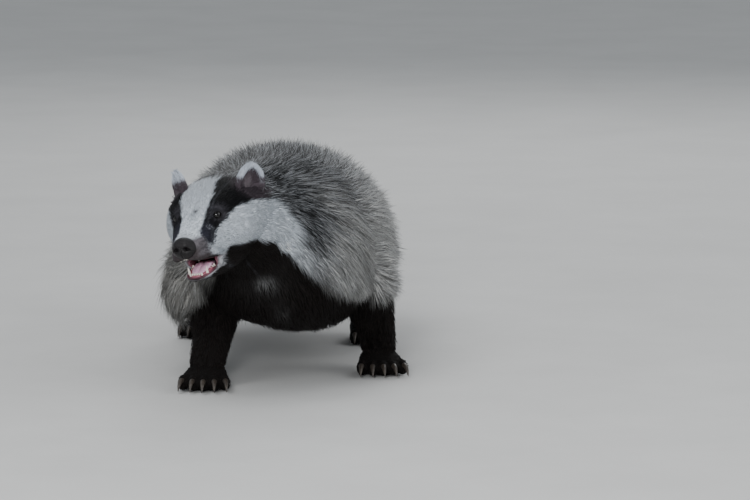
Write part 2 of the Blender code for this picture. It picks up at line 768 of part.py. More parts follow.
def lock(core, place, normal, collection):
    """A flat tapered lock. It starts inside the body, follows the coat's lie and rises to its tip."""
    tree, normals, _ = core
    _, depth, half_width = coat_at(place, normal)
    length = LOCK_LENGTH * min(1.0, 0.30 + depth / 0.036, 0.10 + half_width / 0.020)
    length *= random.uniform(0.88, 1.12)
    width = min(LOCK_WIDTH * min(1.0, 0.45 + depth / 0.050), half_width) * random.uniform(0.85, 1.10)
    lift = depth * (1 - CORE_SHARE) * random.uniform(0.80, 1.10)
    bend = random.uniform(-0.10, 0.10) * length
    bm = bmesh.new()
    rings = []
    reached = 0.0
    for s, wide, thick in (*LOCK_PROFILE, (1.0, 0.0, 0.0)):
        lie = coat_at(place, normal)[0]
        if s > reached:
            ahead = place + lie * length * (s - reached)
            place, _, k, away = tree.find_nearest(ahead)
            normal = normals[k]
            if away > BEYOND * length:
                place = ahead
            reached = s
        across = lie.cross(normal).normalized()
        rise = -LOCK_ROOT + (LOCK_ROOT + lift) * (1 - (1 - s) ** 1.5)
        middle = place + normal * rise + across * bend * s * s
        half = across * width * wide / 2
        high = normal * LOCK_THICKNESS * thick
        rings.append([middle] if s == 1.0 else
                     [middle - half - high * 0.4, middle + half - high * 0.4, middle + high * 0.6])
    rows = [[bm.verts.new(p) for p in ring] for ring in rings]
    for first, second in zip(rows[:-2], rows[1:-1]):
        for k in range(3):
            n = (k + 1) % 3
            bm.faces.new((first[k], first[n], second[n], second[k]))
    for k in range(3):
        bm.faces.new((rows[-1][0], rows[-2][k], rows[-2][(k + 1) % 3]))
    bm.faces.new(rows[0])
    return new_object("lock", bm, collection)


def grow_coat(name, neighbours):
    """Gives a node its locks. They are one piece cut clear of the neighbours, then joined."""
    for node, place, normal in ROOTS:
        if node == name:
            lock(CORE, place, normal, SCRAP)
    first = SCRAP.objects[0]
    SCRAP.objects.unlink(first)
    TOOLS.objects.link(first)
    combine(first, SCRAP, "UNION")
    for other in neighbours:
        grown(bpy.data.objects[other], LOCK_CLEARANCE, SCRAP)
    combine(first, SCRAP, "DIFFERENCE")
    SCRAP.objects.link(first)
    TOOLS.objects.unlink(first)
    grower = bpy.data.objects[name]
    combine(grower, SCRAP, "UNION")
    keep_largest(grower, GRAY)


def group(name):
    made = bpy.data.collections.new(name)
    bpy.context.scene.collection.children.link(made)
    return made


def parting_cutters(collection):
    """The thin cuts between body, neck, head, jaw, tail, legs and paws."""
    head = head_frame()
    lean = Matrix.Rotation(math.radians(-90.0) - HEAD_CUT_LEAN, 4, "X")
    slab("head_cut", head @ Matrix.Translation(HEAD_CUT) @ lean, 0.090, 0.090, collection)
    slope = Matrix.Rotation(JAW_CUT_SLOPE, 4, "X") @ Matrix.Translation((0, 0.045, 0))
    slab("jaw_cut", head @ Matrix.Translation(JAW_CUT) @ slope, 0.070, 0.045, collection)
    slab("shoulder_cut", frame_at(SHOULDER_CUT, SHOULDER_NORMAL), 0.120, 0.110, collection)
    slab("tail_cut", frame_at(TAIL_CUT, TAIL_NORMAL), 0.060, 0.060, collection)
    for name, sizes in LEG_DOMES.items():
        dome(name + "_cut", *sizes, collection)
    for paw, (x, y, _, _) in PAWS.items():
        slab(paw + "_cut", Matrix.Translation((x, y, WRIST_HEIGHT)), 0.040, 0.040, collection)


def blending(point):
    """How much a point of the body is blended: most at the throat, least near the paws."""
    throat = max(0.0, 1.0 - (point - THROAT).length / THROAT_REACH)
    legs = min(max((point.z - 0.035) / 0.04, 0.10), 1.0)
    return min(1.0, 0.30 + throat) * legs


def own_points():
    """A point inside each node of the parted flesh."""
    head, jaw = head_frame(), jaw_frame()
    found = {
        "head": head @ Vector((0, 0.050, 0.010)),
        "lower_jaw": jaw @ Vector((0, 0.016, -0.0540)),
        "neck": Vector((-0.036, -0.088, 0.192)),
        "torso": Vector((0.001, 0.120, 0.148)),
        "tail": Vector((0.009, 0.460, 0.113)),
    }
    for leg, rows in LEGS.items():
        x, y, z = rows[3][:3]
        found[leg] = Vector((x, y, z))
    for paw, (x, y, _, _) in PAWS.items():
        found[paw] = Vector((x, y - 0.010, 0.012))
    return found


clear_scene()
MAIN = group("european_badger")
SCRAP = group("scrap")
TOOLS = group("tools")

GRAY = material("silver_gray_coat", (0.30, 0.29, 0.27), 0.75)
WHITE = material("white_face_fur", (0.72, 0.74, 0.76), 0.7)
BLACK = material("black_leg_fur", (0.016, 0.015, 0.016), 0.7)
EAR_FUR = material("dark_ear_fur", (0.035, 0.028, 0.030), 0.7)
NOSE_SKIN = material("moist_nose_skin", (0.030, 0.026, 0.027), 0.35)
EYE_BLACK = material("glossy_black_eye", (0.006, 0.005, 0.005), 0.08)
TONGUE_PINK = material("wet_pink_tongue", (0.62, 0.30, 0.34), 0.35)
FINISHES = {"head": WHITE, "lower_jaw": WHITE, "neck": GRAY, "torso": GRAY, "tail": GRAY}

# The flesh of the body, neck, tail and legs, with the coat out to its tips.
body = loft("body", body_rings(TORSO, 3, BODY_SIDES, CORE_SHARE), MAIN)
loft("neck_form", body_rings(NECK, 3, BODY_SIDES, CORE_SHARE), SCRAP)
loft("tail_form", body_rings(TAIL, 3, LIMB_SIDES, CORE_SHARE), SCRAP)
ellipsoid("throat_form", THROAT, THROAT_RADII, Matrix.Identity(4), SCRAP, 24)
ellipsoid("shoulder_form", SHOULDER, SHOULDER_RADII, Matrix.Identity(4), SCRAP, 24)
for leg, leg_stations in LEGS.items():
    loft(leg + "_form", leg_rings(leg_stations, 2), SCRAP)
for paw in PAWS:
    add_paw(paw, SCRAP)
combine(body, SCRAP, "UNION")
soften(body, 0.0026, 90, 2300, blending)
body_clearance = grown(body, GAP, TOOLS)
CORE = core_of(body)
SPINE = spine()
ROOTS = coat_roots(CORE)

# The head with its lips and lids, and the hollow of its mouth.
head = loft("head_form", head_rings(SKULL, 3, BODY_SIDES, head_frame()), MAIN)
loft("jaw_form", head_rings(JAW, 3, BODY_SIDES, jaw_frame()), SCRAP)
add_lips(SCRAP)
add_cheeks(SCRAP)
combine(head, SCRAP, "UNION")
mouth_cutters(SCRAP)
combine(head, SCRAP, "DIFFERENCE")
soften(head, 0.0012, 4, 1500)
head_clearance = grown(head, GAP, TOOLS)

# One whole, with claws, teeth and lids rooted in it, and soles cut level with the floor.
for paw in PAWS:
    add_claws(paw, SCRAP)
add_teeth(SCRAP)
add_lids(SCRAP)
SCRAP.objects.link(head)
MAIN.objects.unlink(head)
combine(body, SCRAP, "UNION")
box("below_floor", Matrix.Translation((0, 0.15, -0.1)), (1.0, 1.4, 0.2), SCRAP)
combine(body, SCRAP, "DIFFERENCE")

# The nose pad, eyes, tongue and ears, and the room that the flesh leaves for each.
nose = ellipsoid("nose_pad", NOSE, NOSE_RADII, head_frame(), MAIN, 16)
tongue = ellipsoid("tongue", Vector((0, -0.010, -0.0455)), (0.0095, 0.0225, 0.0042), jaw_frame(),
                   MAIN, 14)
grown(nose, GAP, SCRAP)
grown(tongue, GAP, SCRAP)
eye_cutters(SCRAP)
combine(body, SCRAP, "DIFFERENCE")
parting_cutters(SCRAP)
combine(body, SCRAP, "DIFFERENCE")
parted = part_nodes(body, {name: (point, FINISHES.get(name, BLACK))
                           for name, point in own_points().items()})

for side in (-1, 1):
    ellipsoid("nostril", NOSE + Vector((side * NOSTRIL_X, -0.0110, 0.0002)),
              (0.0024, 0.0045, 0.0020), head_frame(), SCRAP, 8)
combine(nose, SCRAP, "DIFFERENCE")
nose = keep_largest(nose, NOSE_SKIN)
tongue.data.materials.append(TONGUE_PINK)
for side, name in ((-1, "right"), (1, "left")):
    eye = ellipsoid("eye_" + name, Vector(), [EYE_RADIUS] * 3, eye_frame(side), MAIN, 14)
    eye.data.materials.append(EYE_BLACK)
    hollows = group("hollow_" + name)
    cup = ear_parts(side, MAIN, hollows)
    cup.name = "ear_" + name
    combine(cup, hollows, "DIFFERENCE")
    bpy.data.collections.remove(hollows)
    for form in (head_clearance, body_clearance):
        grown(form, 0.0, SCRAP)
    combine(cup, SCRAP, "DIFFERENCE")
    keep_largest(cup, EAR_FUR)
for form in (head_clearance, body_clearance):
    bpy.data.objects.remove(form)

# The long coat: each node's locks are cut clear of its neighbours, then joined to it.
grow_coat("neck", ("head", "ear_left", "ear_right", "torso", "foreleg_left", "foreleg_right"))
grow_coat("tail", ("torso",))
grow_coat("torso", ("neck", "tail", "foreleg_left", "foreleg_right", "hindleg_left",
                    "hindleg_right"))

for obj in MAIN.objects:
    obj.data.transform(Matrix.Translation(TO_ORIGIN))
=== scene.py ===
"""A standing European badger, life size: one skin under a coat of fine tufts, in soft studio light.

Metres, +Z up. Shapes are made from the same named stations as the solids and moved by TO_ORIGIN,
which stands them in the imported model's frame.
"""

import json
import math
import random

import bpy
import bmesh
import numpy as np
from mathutils import Matrix, Vector
from mathutils.bvhtree import BVHTree
from mathutils.kdtree import KDTree

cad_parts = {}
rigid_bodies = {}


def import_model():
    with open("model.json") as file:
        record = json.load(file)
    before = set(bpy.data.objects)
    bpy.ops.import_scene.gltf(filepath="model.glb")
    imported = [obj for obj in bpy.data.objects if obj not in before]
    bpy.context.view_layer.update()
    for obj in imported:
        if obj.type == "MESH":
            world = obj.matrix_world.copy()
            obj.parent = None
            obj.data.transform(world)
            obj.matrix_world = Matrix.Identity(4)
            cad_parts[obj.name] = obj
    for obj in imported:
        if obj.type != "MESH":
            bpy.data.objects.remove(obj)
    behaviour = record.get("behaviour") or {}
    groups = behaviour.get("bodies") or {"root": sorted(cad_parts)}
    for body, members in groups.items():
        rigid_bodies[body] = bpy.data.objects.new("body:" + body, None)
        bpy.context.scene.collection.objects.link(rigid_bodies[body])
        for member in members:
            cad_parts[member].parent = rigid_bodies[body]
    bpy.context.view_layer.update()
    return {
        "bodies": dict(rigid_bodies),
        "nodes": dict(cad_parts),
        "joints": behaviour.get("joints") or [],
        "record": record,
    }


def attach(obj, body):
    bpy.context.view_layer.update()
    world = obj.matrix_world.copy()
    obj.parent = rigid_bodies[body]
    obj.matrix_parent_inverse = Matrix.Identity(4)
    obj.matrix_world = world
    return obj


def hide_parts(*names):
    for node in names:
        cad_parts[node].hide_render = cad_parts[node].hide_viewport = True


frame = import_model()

random.seed(7)
RNG = np.random.default_rng(7)

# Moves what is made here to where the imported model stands.
TO_ORIGIN = Vector((-0.0075, -0.1390, 0.0))
BODY_SIDES = 40
LIMB_SIDES = 24
SMALL_SIDES = 14
# Voxels that the body's and the head's skins are blended in.
BODY_VOXEL = 0.0020
HEAD_VOXEL = 0.0009
# How deep the skin lies under the short fur of the legs, the paws and the head.
LEG_FUR = 0.0028
PAW_FUR = 0.0010
HEAD_FUR = 0.0022

# The head's own frame has its origin midway between the eyes, -Y to the nose and +Z up.
EYE_MIDPOINT = Vector((-0.0832, -0.195, 0.2072))
HEAD_TURN = math.radians(-20.5)
HEAD_DIP = math.radians(6.5)
HEAD_TILT = math.radians(-8.0)
EYE = Vector((0.0222, 0.0008, -0.0002))
EYE_RADIUS = 0.0057
EYE_LOOK = Vector((0.62, -0.78, 0.10))
NOSE = Vector((0.0, -0.0475, -0.0235))
NOSE_RADII = (0.0136, 0.0105, 0.0120)
NOSTRIL_X = 0.0054
CHEEK = Vector((0.0165, 0.0215, -0.0475))
CHEEK_RADII = (0.0120, 0.0300, 0.0165)
JAW_DROP = math.radians(12.5)
JAW_HINGE = Vector((0.0, 0.052, -0.036))
HEAD_CUT = Vector((0.0, 0.088, 0.0))
HEAD_CUT_LEAN = math.radians(22.0)
EAR_BASE = Vector((0.0412, 0.060, 0.0125))
EAR_RADII = (0.0185, 0.0070, 0.0285)
EAR_WALL = 0.0036
EAR_LEAN = math.radians(11.0)
EAR_FACING = math.radians(50.0)

# How much narrower than its middle the top of the body is.
BODY_EGG = 0.22
THROAT = Vector((-0.008, -0.070, 0.137))
THROAT_RADII = (0.064, 0.050, 0.047)
THROAT_REACH = 0.110
# The shoulder of the foreleg that carries the weight bulges out over it.
SHOULDER = Vector((-0.084, 0.010, 0.104))
SHOULDER_RADII = (0.042, 0.066, 0.052)

# Torso stations from the chest to the rump:
# centre x, y, z, half width, height above, depth below, coat depth, roll in degrees.
TORSO = (
    (-0.012, -0.100, 0.136, 0.034, 0.034, 0.038, 0.008, 3),
    (-0.008, -0.076, 0.138, 0.062, 0.058, 0.064, 0.012, 4),
    (0.002, -0.024, 0.145, 0.089, 0.078, 0.084, 0.020, 8),
    (0.008, 0.040, 0.147, 0.099, 0.084, 0.090, 0.026, 10),
    (0.009, 0.120, 0.143, 0.102, 0.079, 0.087, 0.028, 9),
    (0.008, 0.200, 0.138, 0.103, 0.076, 0.082, 0.028, 6),
    (0.006, 0.280, 0.133, 0.100, 0.072, 0.074, 0.028, 3),
    (0.005, 0.345, 0.129, 0.085, 0.064, 0.061, 0.026, 0),
    (0.006, 0.385, 0.126, 0.058, 0.048, 0.044, 0.022, 0),
    (0.006, 0.408, 0.125, 0.026, 0.024, 0.022, 0.016, 0),
)
# Neck stations from inside the shoulders to inside the head, in the same columns.
NECK = (
    (0.002, 0.010, 0.152, 0.084, 0.078, 0.078, 0.024, 3),
    (-0.009, -0.040, 0.171, 0.076, 0.068, 0.076, 0.022, 0),
    (-0.024, -0.078, 0.188, 0.067, 0.053, 0.068, 0.018, -8),
    (-0.040, -0.108, 0.198, 0.060, 0.041, 0.060, 0.012, -13),
    (-0.054, -0.136, 0.2035, 0.050, 0.034, 0.048, 0.005, -13),
)
# Tail stations from inside the rump to the tip, in the same columns.
TAIL = (
    (0.005, 0.375, 0.142, 0.026, 0.024, 0.026, 0.018, 0),
    (0.006, 0.410, 0.136, 0.021, 0.020, 0.020, 0.020, 0),
    (0.008, 0.446, 0.120, 0.016, 0.015, 0.015, 0.020, 0),
    (0.010, 0.478, 0.099, 0.0125, 0.0120, 0.0120, 0.018, 0),
    (0.011, 0.503, 0.078, 0.0085, 0.0085, 0.0085, 0.012, 0),
    (0.012, 0.516, 0.063, 0.0040, 0.0040, 0.0040, 0.006, 0),
)
# Skull and muzzle stations from the nape to the nose, in the head's frame:
# centre y, z, half width, height above, depth below.
SKULL = (
    (0.112, -0.006, 0.043, 0.029, 0.042),
    (0.084, -0.006, 0.053, 0.0325, 0.048),
    (0.054, -0.009, 0.0555, 0.0345, 0.048),
    (0.026, -0.012, 0.0490, 0.0335, 0.044),
    (0.005, -0.014, 0.0365, 0.0295, 0.036),
    (-0.011, -0.017, 0.0285, 0.0240, 0.0275),
    (-0.028, -0.0205, 0.0225, 0.0175, 0.0205),
    (-0.042, -0.0230, 0.0180, 0.0130, 0.0150),
    (-0.050, -0.0240, 0.0130, 0.0100, 0.0110),
)
# Lower jaw stations from the throat to the chin with the mouth shut, in the same columns.
JAW = (
    (0.078, -0.040, 0.040, 0.014, 0.018),
    (0.048, -0.045, 0.036, 0.012, 0.017),
    (0.018, -0.047, 0.0290, 0.0090, 0.0135),
    (-0.004, -0.0460, 0.0225, 0.0065, 0.0105),
    (-0.018, -0.0445, 0.0182, 0.0060, 0.0070),
    (-0.030, -0.0430, 0.0140, 0.0050, 0.0052),
    (-0.0365, -0.0425, 0.0080, 0.0035, 0.0040),
)
# Leg stations from inside the body to the wrist or heel:
# centre x, y, z, half width, reach forward, reach back.
LEGS = {
    "foreleg_right": (
        (-0.056, -0.004, 0.150, 0.038, 0.046, 0.044),
        (-0.066, -0.010, 0.114, 0.036, 0.040, 0.038),
        (-0.068, -0.018, 0.084, 0.0300, 0.031, 0.031),
        (-0.071, -0.032, 0.055, 0.0250, 0.0240, 0.0245),
        (-0.076, -0.050, 0.031, 0.0225, 0.0200, 0.0205),
        (-0.078, -0.056, 0.015, 0.0205, 0.0180, 0.0170),
    ),
    "foreleg_left": (
        (0.064, 0.016, 0.150, 0.038, 0.046, 0.044),
        (0.086, 0.022, 0.114, 0.036, 0.040, 0.038),
        (0.098, 0.028, 0.084, 0.0300, 0.031, 0.031),
        (0.107, 0.038, 0.055, 0.0245, 0.0240, 0.0245),
        (0.111, 0.047, 0.031, 0.0215, 0.0200, 0.0205),
        (0.112, 0.048, 0.015, 0.0205, 0.0180, 0.0170),
    ),
    "hindleg_right": (
        (-0.054, 0.300, 0.132, 0.046, 0.058, 0.052),
        (-0.078, 0.294, 0.102, 0.037, 0.048, 0.044),
        (-0.087, 0.306, 0.076, 0.029, 0.034, 0.032),
        (-0.089, 0.326, 0.051, 0.0230, 0.0245, 0.0240),
        (-0.089, 0.340, 0.030, 0.0205, 0.0200, 0.0190),
        (-0.089, 0.338, 0.015, 0.0190, 0.0190, 0.0170),
    ),
    "hindleg_left": (
        (0.062, 0.262, 0.132, 0.046, 0.058, 0.052),
        (0.086, 0.250, 0.102, 0.037, 0.048, 0.044),
        (0.095, 0.260, 0.076, 0.029, 0.034, 0.032),
        (0.097, 0.280, 0.051, 0.0230, 0.0245, 0.0240),
        (0.097, 0.294, 0.030, 0.0205, 0.0200, 0.0190),
        (0.097, 0.292, 0.015, 0.0190, 0.0190, 0.0170),
    ),
}
# Each paw: the wrist's or heel's x and y, its turn outwards in degrees, its length to the toes.
PAWS = {
    "forepaw_right": (-0.078, -0.054, -3, 0.040),
    "forepaw_left": (0.112, 0.050, 6, 0.040),
    "hindpaw_right": (-0.089, 0.340, -8, 0.058),
    "hindpaw_left": (0.097, 0.294, 8, 0.058),
}
PAW_HALF_WIDTH = 0.0275
TOES = 5
FORE_CLAW = 0.025
HIND_CLAW = 0.015
WRIST_HEIGHT = 0.030



def group(name):
    made = bpy.data.collections.new(name)
    bpy.context.scene.collection.children.link(made)
    return made


def new_object(name, bm, collection):
    """An object from a bmesh, with its faces pointing out."""
    bmesh.ops.recalc_face_normals(bm, faces=bm.faces)
    mesh = bpy.data.meshes.new(name)
    bm.to_mesh(mesh)
    bm.free()
    obj = bpy.data.objects.new(name, mesh)
    collection.objects.link(obj)
    return obj


def curve_through(stations, steps):
    """Rows on a smooth curve through the stations, with steps rows from one to the next."""
    rows = np.array(stations, float)
    padded = np.vstack([2 * rows[0] - rows[1], rows, 2 * rows[-1] - rows[-2]])
    out = []
    for i in range(1, len(padded) - 2):
        before, start, end, after = padded[i - 1:i + 3]
        for t in np.linspace(0, 1, steps, endpoint=False):
            out.append(
                0.5 * (2 * start + (end - before) * t
                       + (2 * before - 5 * start + 4 * end - after) * t ** 2
                       + (3 * start - before - 3 * end + after) * t ** 3))
    out.append(rows[-1])
    return np.array(out)


def ring_points(centre, side, up, width, above, below, sides, power=2.3, egg=0.0):
    """A rounded ring in the plane of side and up. egg narrows its top and widens its foot."""
    points = []
    for k in range(sides):
        angle = 2 * math.pi * k / sides
        c, s = math.cos(angle), math.sin(angle)
        x = math.copysign(abs(c) ** (2 / power), c) * width * (1 - egg * s)
        z = math.copysign(abs(s) ** (2 / power), s) * (above if s > 0 else below)
        points.append(centre + side * x + up * z)
    return points


def loft(name, rings, collection):
    """A closed tube through rings of points, with a fan at each end."""
    bm = bmesh.new()
    rows = [[bm.verts.new(p) for p in ring] for ring in rings]
    count = len(rows[0])
    for first, second in zip(rows, rows[1:]):
        for k in range(count):
            n = (k + 1) % count
            bm.faces.new((first[k], first[n], second[n], second[k]))
    for row, ring in ((rows[0], rings[0]), (rows[-1], rings[-1])):
        centre = bm.verts.new(sum(ring, Vector()) / count)
        for k in range(count):
            bm.faces.new((centre, row[k], row[(k + 1) % count]))
    return new_object(name, bm, collection)


def path_frames(centres, rolls):
    """Side and up axes across a path, each turned about the path by its roll in degrees."""
    frames = []
    for i, roll in enumerate(rolls):
        ahead = centres[min(i + 1, len(centres) - 1)]
        behind = centres[max(i - 1, 0)]
        along = (ahead - behind).normalized()
        side = along.cross(Vector((0, 0, 1))).normalized()
        turn = Matrix.Rotation(math.radians(roll), 3, along)
        frames.append((turn @ side, turn @ side.cross(along)))
    return frames


def body_rings(stations, steps, sides, coat_share):
    """Rings of a body loft, out from the skin by that share of the coat's depth."""
    rows = curve_through(stations, steps)
    centres = [Vector(row[:3]) for row in rows]
    rings = []
    for row, centre, (side, up) in zip(rows, centres, path_frames(centres, rows[:, 7])):
        coat = row[6] * coat_share
        rings.append(ring_points(centre, side, up, row[3] + coat, row[4] + coat,
                                 row[5] + coat * 0.5, sides, egg=BODY_EGG))
    return rings


def head_frame():
    return (Matrix.Translation(EYE_MIDPOINT) @ Matrix.Rotation(HEAD_TURN, 4, "Z")
            @ Matrix.Rotation(HEAD_DIP, 4, "X") @ Matrix.Rotation(HEAD_TILT, 4, "Y"))


def jaw_frame():
    """The head's frame turned about the jaw's hinge, which opens the shut lower jaw."""
    return (head_frame() @ Matrix.Translation(JAW_HINGE)
            @ Matrix.Rotation(JAW_DROP, 4, "X") @ Matrix.Translation(-JAW_HINGE))


def ellipsoid(name, centre, radii, frame, collection, segments=16):
    bm = bmesh.new()
    bmesh.ops.create_uvsphere(bm, u_segments=segments, v_segments=segments // 2, radius=1.0)
    place = frame @ Matrix.Translation(centre) @ Matrix.Diagonal((*radii, 1.0))
    bmesh.ops.transform(bm, matrix=place, verts=bm.verts)
    return new_object(name, bm, collection)


def horn(name, points, radii, sides, collection):
    """A tapered, bent cone through points, such as a claw or a tooth."""
    bm = bmesh.new()
    rows = []
    for i, radius in enumerate(radii):
        along = (points[i + 1] - points[max(i - 1, 0)]).normalized()
        side = along.cross(Vector((0.1, 0.2, 1))).normalized()
        up = side.cross(along)
        rows.append([
            bm.verts.new(points[i] + side * radius * math.cos(a) + up * radius * math.sin(a))
            for a in (2 * math.pi * k / sides for k in range(sides))])
    for first, second in zip(rows, rows[1:]):
        for k in range(sides):
            n = (k + 1) % sides
            bm.faces.new((first[k], first[n], second[n], second[k]))
    tip = bm.verts.new(points[len(radii)])
    for k in range(sides):
        bm.faces.new((tip, rows[-1][k], rows[-1][(k + 1) % sides]))
    bm.faces.new(rows[0])
    return new_object(name, bm, collection)


def apply_modifiers(obj):
    bpy.context.view_layer.update()
    graph = bpy.context.evaluated_depsgraph_get()
    mesh = bpy.data.meshes.new_from_object(obj.evaluated_get(graph))
    obj.modifiers.clear()
    obj.data = mesh


def combine(obj, others, operation):
    """One Boolean of a collection on an object, then the collection's objects are removed."""
    modifier = obj.modifiers.new(operation.title(), "BOOLEAN")
    modifier.operation = operation
    modifier.operand_type = "COLLECTION"
    modifier.collection = others
    modifier.solver = "MANIFOLD"
    apply_modifiers(obj)
    for other in list(others.objects):
        bpy.data.objects.remove(other)


def paw_frame(paw):
    x, y, turn, _ = PAWS[paw]
    return Matrix.Translation((x, y, 0)) @ Matrix.Rotation(math.radians(turn), 4, "Z")


def toes(paw):
    """Each toe's x and y in the paw's frame, and the way that it points."""
    length = PAWS[paw][3]
    wide = PAW_HALF_WIDTH if paw.startswith("fore") else PAW_HALF_WIDTH * 0.88
    for k in range(TOES):
        across = 2 * k / (TOES - 1) - 1
        fan = math.radians(9.0) * across
        yield across * wide * 0.82, 0.006 * across ** 2 - length, Vector((math.sin(fan), -math.cos(fan), 0))


def eye_frame(side):
    """The eye's frame, whose -Y axis is the way that it looks."""
    look = Vector((side * EYE_LOOK.x, EYE_LOOK.y, EYE_LOOK.z))
    turn = look.to_track_quat("-Y", "Z").to_matrix().to_4x4()
    return head_frame() @ Matrix.Translation((side * EYE.x, EYE.y, EYE.z)) @ turn




def leg_rings(stations, steps, inset):
    rows = curve_through(stations, steps)
    return [ring_points(Vector(row[:3]), Vector((1, 0, 0)), Vector((0, -1, 0)),
                        row[3] - inset, row[4] - inset, row[5] - inset, LIMB_SIDES) for row in rows]


def head_rings(stations, steps, sides, frame, inset):
    """Rings of the skull, jaw or a paw. inset is how deep the skin lies under the fur."""
    rings = []
    for y, z, width, above, below in curve_through(stations, steps):
        depth = min(inset, 0.15 * width)
        ring = ring_points(Vector((0, y, z)), Vector((1, 0, 0)), Vector((0, 0, 1)),
                           width - depth, above - depth, below - depth, sides)
        rings.append([frame @ p for p in ring])
    return rings


def points_of(mesh):
    found = np.empty(len(mesh.vertices) * 3, np.float32)
    mesh.vertices.foreach_get("co", found)
    return found.reshape(-1, 3).astype(float)


def normals_of(mesh):
    found = np.empty(len(mesh.vertices) * 3, np.float32)
    mesh.vertices.foreach_get("normal", found)
    return found.reshape(-1, 3).astype(float)


def move_points(mesh, points):
    mesh.vertices.foreach_set("co", points.astype(np.float32).ravel())
    mesh.update()


def smooth(x, low, high):
    """0 below low, 1 above high, and a soft step between. low may be the greater."""
    t = np.clip((x - low) / (high - low), 0, 1)
    return t * t * (3 - 2 * t)


def mix(a, b, share):
    share = np.asarray(share)[..., None]
    return np.asarray(a) * (1 - share) + np.asarray(b) * share


def lumps(points, size, seed, waves=7):
    """Smooth noise from -1 to 1 with lumps of about that size."""
    rng = np.random.default_rng(seed)
    total = np.zeros(len(points))
    for _ in range(waves):
        way = rng.normal(size=3)
        way *= 2 * math.pi / size / np.linalg.norm(way) * rng.uniform(0.6, 1.4)
        total += np.sin(points @ way + rng.uniform(0, 6.28))
    return total / (0.5 * waves) ** 0.5 / 2


def remeshed(obj, voxel, rounds, weights=None):
    """Blends the joins of a union."""
    remesh = obj.modifiers.new("Remesh", "REMESH")
    remesh.mode = "VOXEL"
    remesh.voxel_size = voxel
    apply_modifiers(obj)
    smoothed(obj, rounds, weights)


def smoothed(obj, rounds, weights=None):
    blend = obj.modifiers.new("Smooth", "SMOOTH")
    blend.factor = 0.5
    blend.iterations = rounds
    if weights is not None:
        share = obj.vertex_groups.new(name="soft")
        for i, w in enumerate(weights(points_of(obj.data))):
            if w > 0.01:
                share.add([i], float(w), "REPLACE")
        blend.vertex_group = share.name
    apply_modifiers(obj)
    obj.vertex_groups.clear()


def blending(points):
    """How much each point of the body is blended: most at the throat, least near the paws."""
    away = np.linalg.norm(points - np.array(THROAT), axis=1)
    throat = np.maximum(0, 1 - away / THROAT_REACH)
    legs = np.clip((points[:, 2] - 0.035) / 0.04, 0.03, 1)
    return np.minimum(1, 0.30 + throat) * legs


HEAD = np.array(head_frame())
TO_HEAD = np.linalg.inv(HEAD)
TO_JAW = np.linalg.inv(np.array(jaw_frame()))


def in_head(points):
    return points @ TO_HEAD[:3, :3].T + TO_HEAD[:3, 3]


def in_jaw(points):
    return points @ TO_JAW[:3, :3].T + TO_JAW[:3, 3]


def past_nape(points):
    """How far each point lies behind the cut between head and neck."""
    h = in_head(points) - np.array(HEAD_CUT)
    return h[:, 1] * math.cos(HEAD_CUT_LEAN) - h[:, 2] * math.sin(HEAD_CUT_LEAN)


def swell(points, normals, h, centre, reach, height):
    """Moves points near a place in the head's frame along their normals, on both sides."""
    for side in (-1, 1):
        away = (h - np.array(centre) * (side, 1, 1)) / np.array(reach)
        points += normals * (height * np.exp(-(away ** 2).sum(axis=1)))[:, None]


def add_paw(paw, collection):
    frame = paw_frame(paw)
    length = PAWS[paw][3]
    wide = PAW_HALF_WIDTH if paw.startswith("fore") else PAW_HALF_WIDTH * 0.88
    rows = (
        (0.016, 0.0115, wide * 0.55, 0.008, 0.0125),
        (0.006, 0.0135, wide * 0.78, 0.012, 0.0150),
        (-length * 0.35, 0.0130, wide * 0.90, 0.012, 0.0145),
        (-length * 0.70, 0.0115, wide * 0.98, 0.0090, 0.0130),
        (-length * 0.92, 0.0100, wide * 0.90, 0.0065, 0.0110),
    )
    loft(paw, head_rings(rows, 3, LIMB_SIDES, frame, PAW_FUR), collection)
    for x, y, out in toes(paw):
        spread = Matrix.Translation((x, y, 0.0092)) @ out.to_track_quat("-Y", "Z").to_matrix().to_4x4()
        ellipsoid("toe", Vector(), (0.0060, 0.0125, 0.0088), frame @ spread, collection, 20)


def add_lips(collection):
    """A soft fold along each side of the upper mouth, from the nose to the corner."""
    rows = ((0.0040, -0.0500, -0.0330, 1.0), (0.0120, -0.0450, -0.0350, 1.0),
            (0.0165, -0.0330, -0.0370, 0.95), (0.0195, -0.0200, -0.0390, 0.85),
            (0.0205, -0.0080, -0.0405, 0.60), (0.0200, 0.0020, -0.0410, 0.30))
    for side in (-1, 1):
        rings = []
        for x, y, z, full in curve_through(rows, 4):
            ring = ring_points(Vector((side * x, y, z)), Vector((1, 0, 0)), Vector((0, 0, 1)),
                               0.0040 * full, 0.0085, 0.0036 * full, SMALL_SIDES)
            rings.append([head_frame() @ p for p in ring])
        loft("upper_lip", rings, collection)


# The hollows of the mouth: centre and radii, the first two in the head's frame.
PALATE = ((0, -0.0175, -0.0405), (0.0190, 0.0300, 0.0088))
GULLET = ((0, 0.006, -0.0470), (0.0140, 0.0240, 0.0085))
TRAY = ((0, -0.010, -0.0370), (0.0155, 0.0278, 0.0085))


def in_mouth(points):
    """How deep each point lies in the mouth: under 1 is inside its hollows."""
    found = []
    for h, (centre, radii) in ((in_head(points), PALATE), (in_head(points), GULLET),
                               (in_jaw(points), TRAY)):
        found.append(np.linalg.norm((h - np.array(centre)) / np.array(radii), axis=1))
    return np.min(found, axis=0)


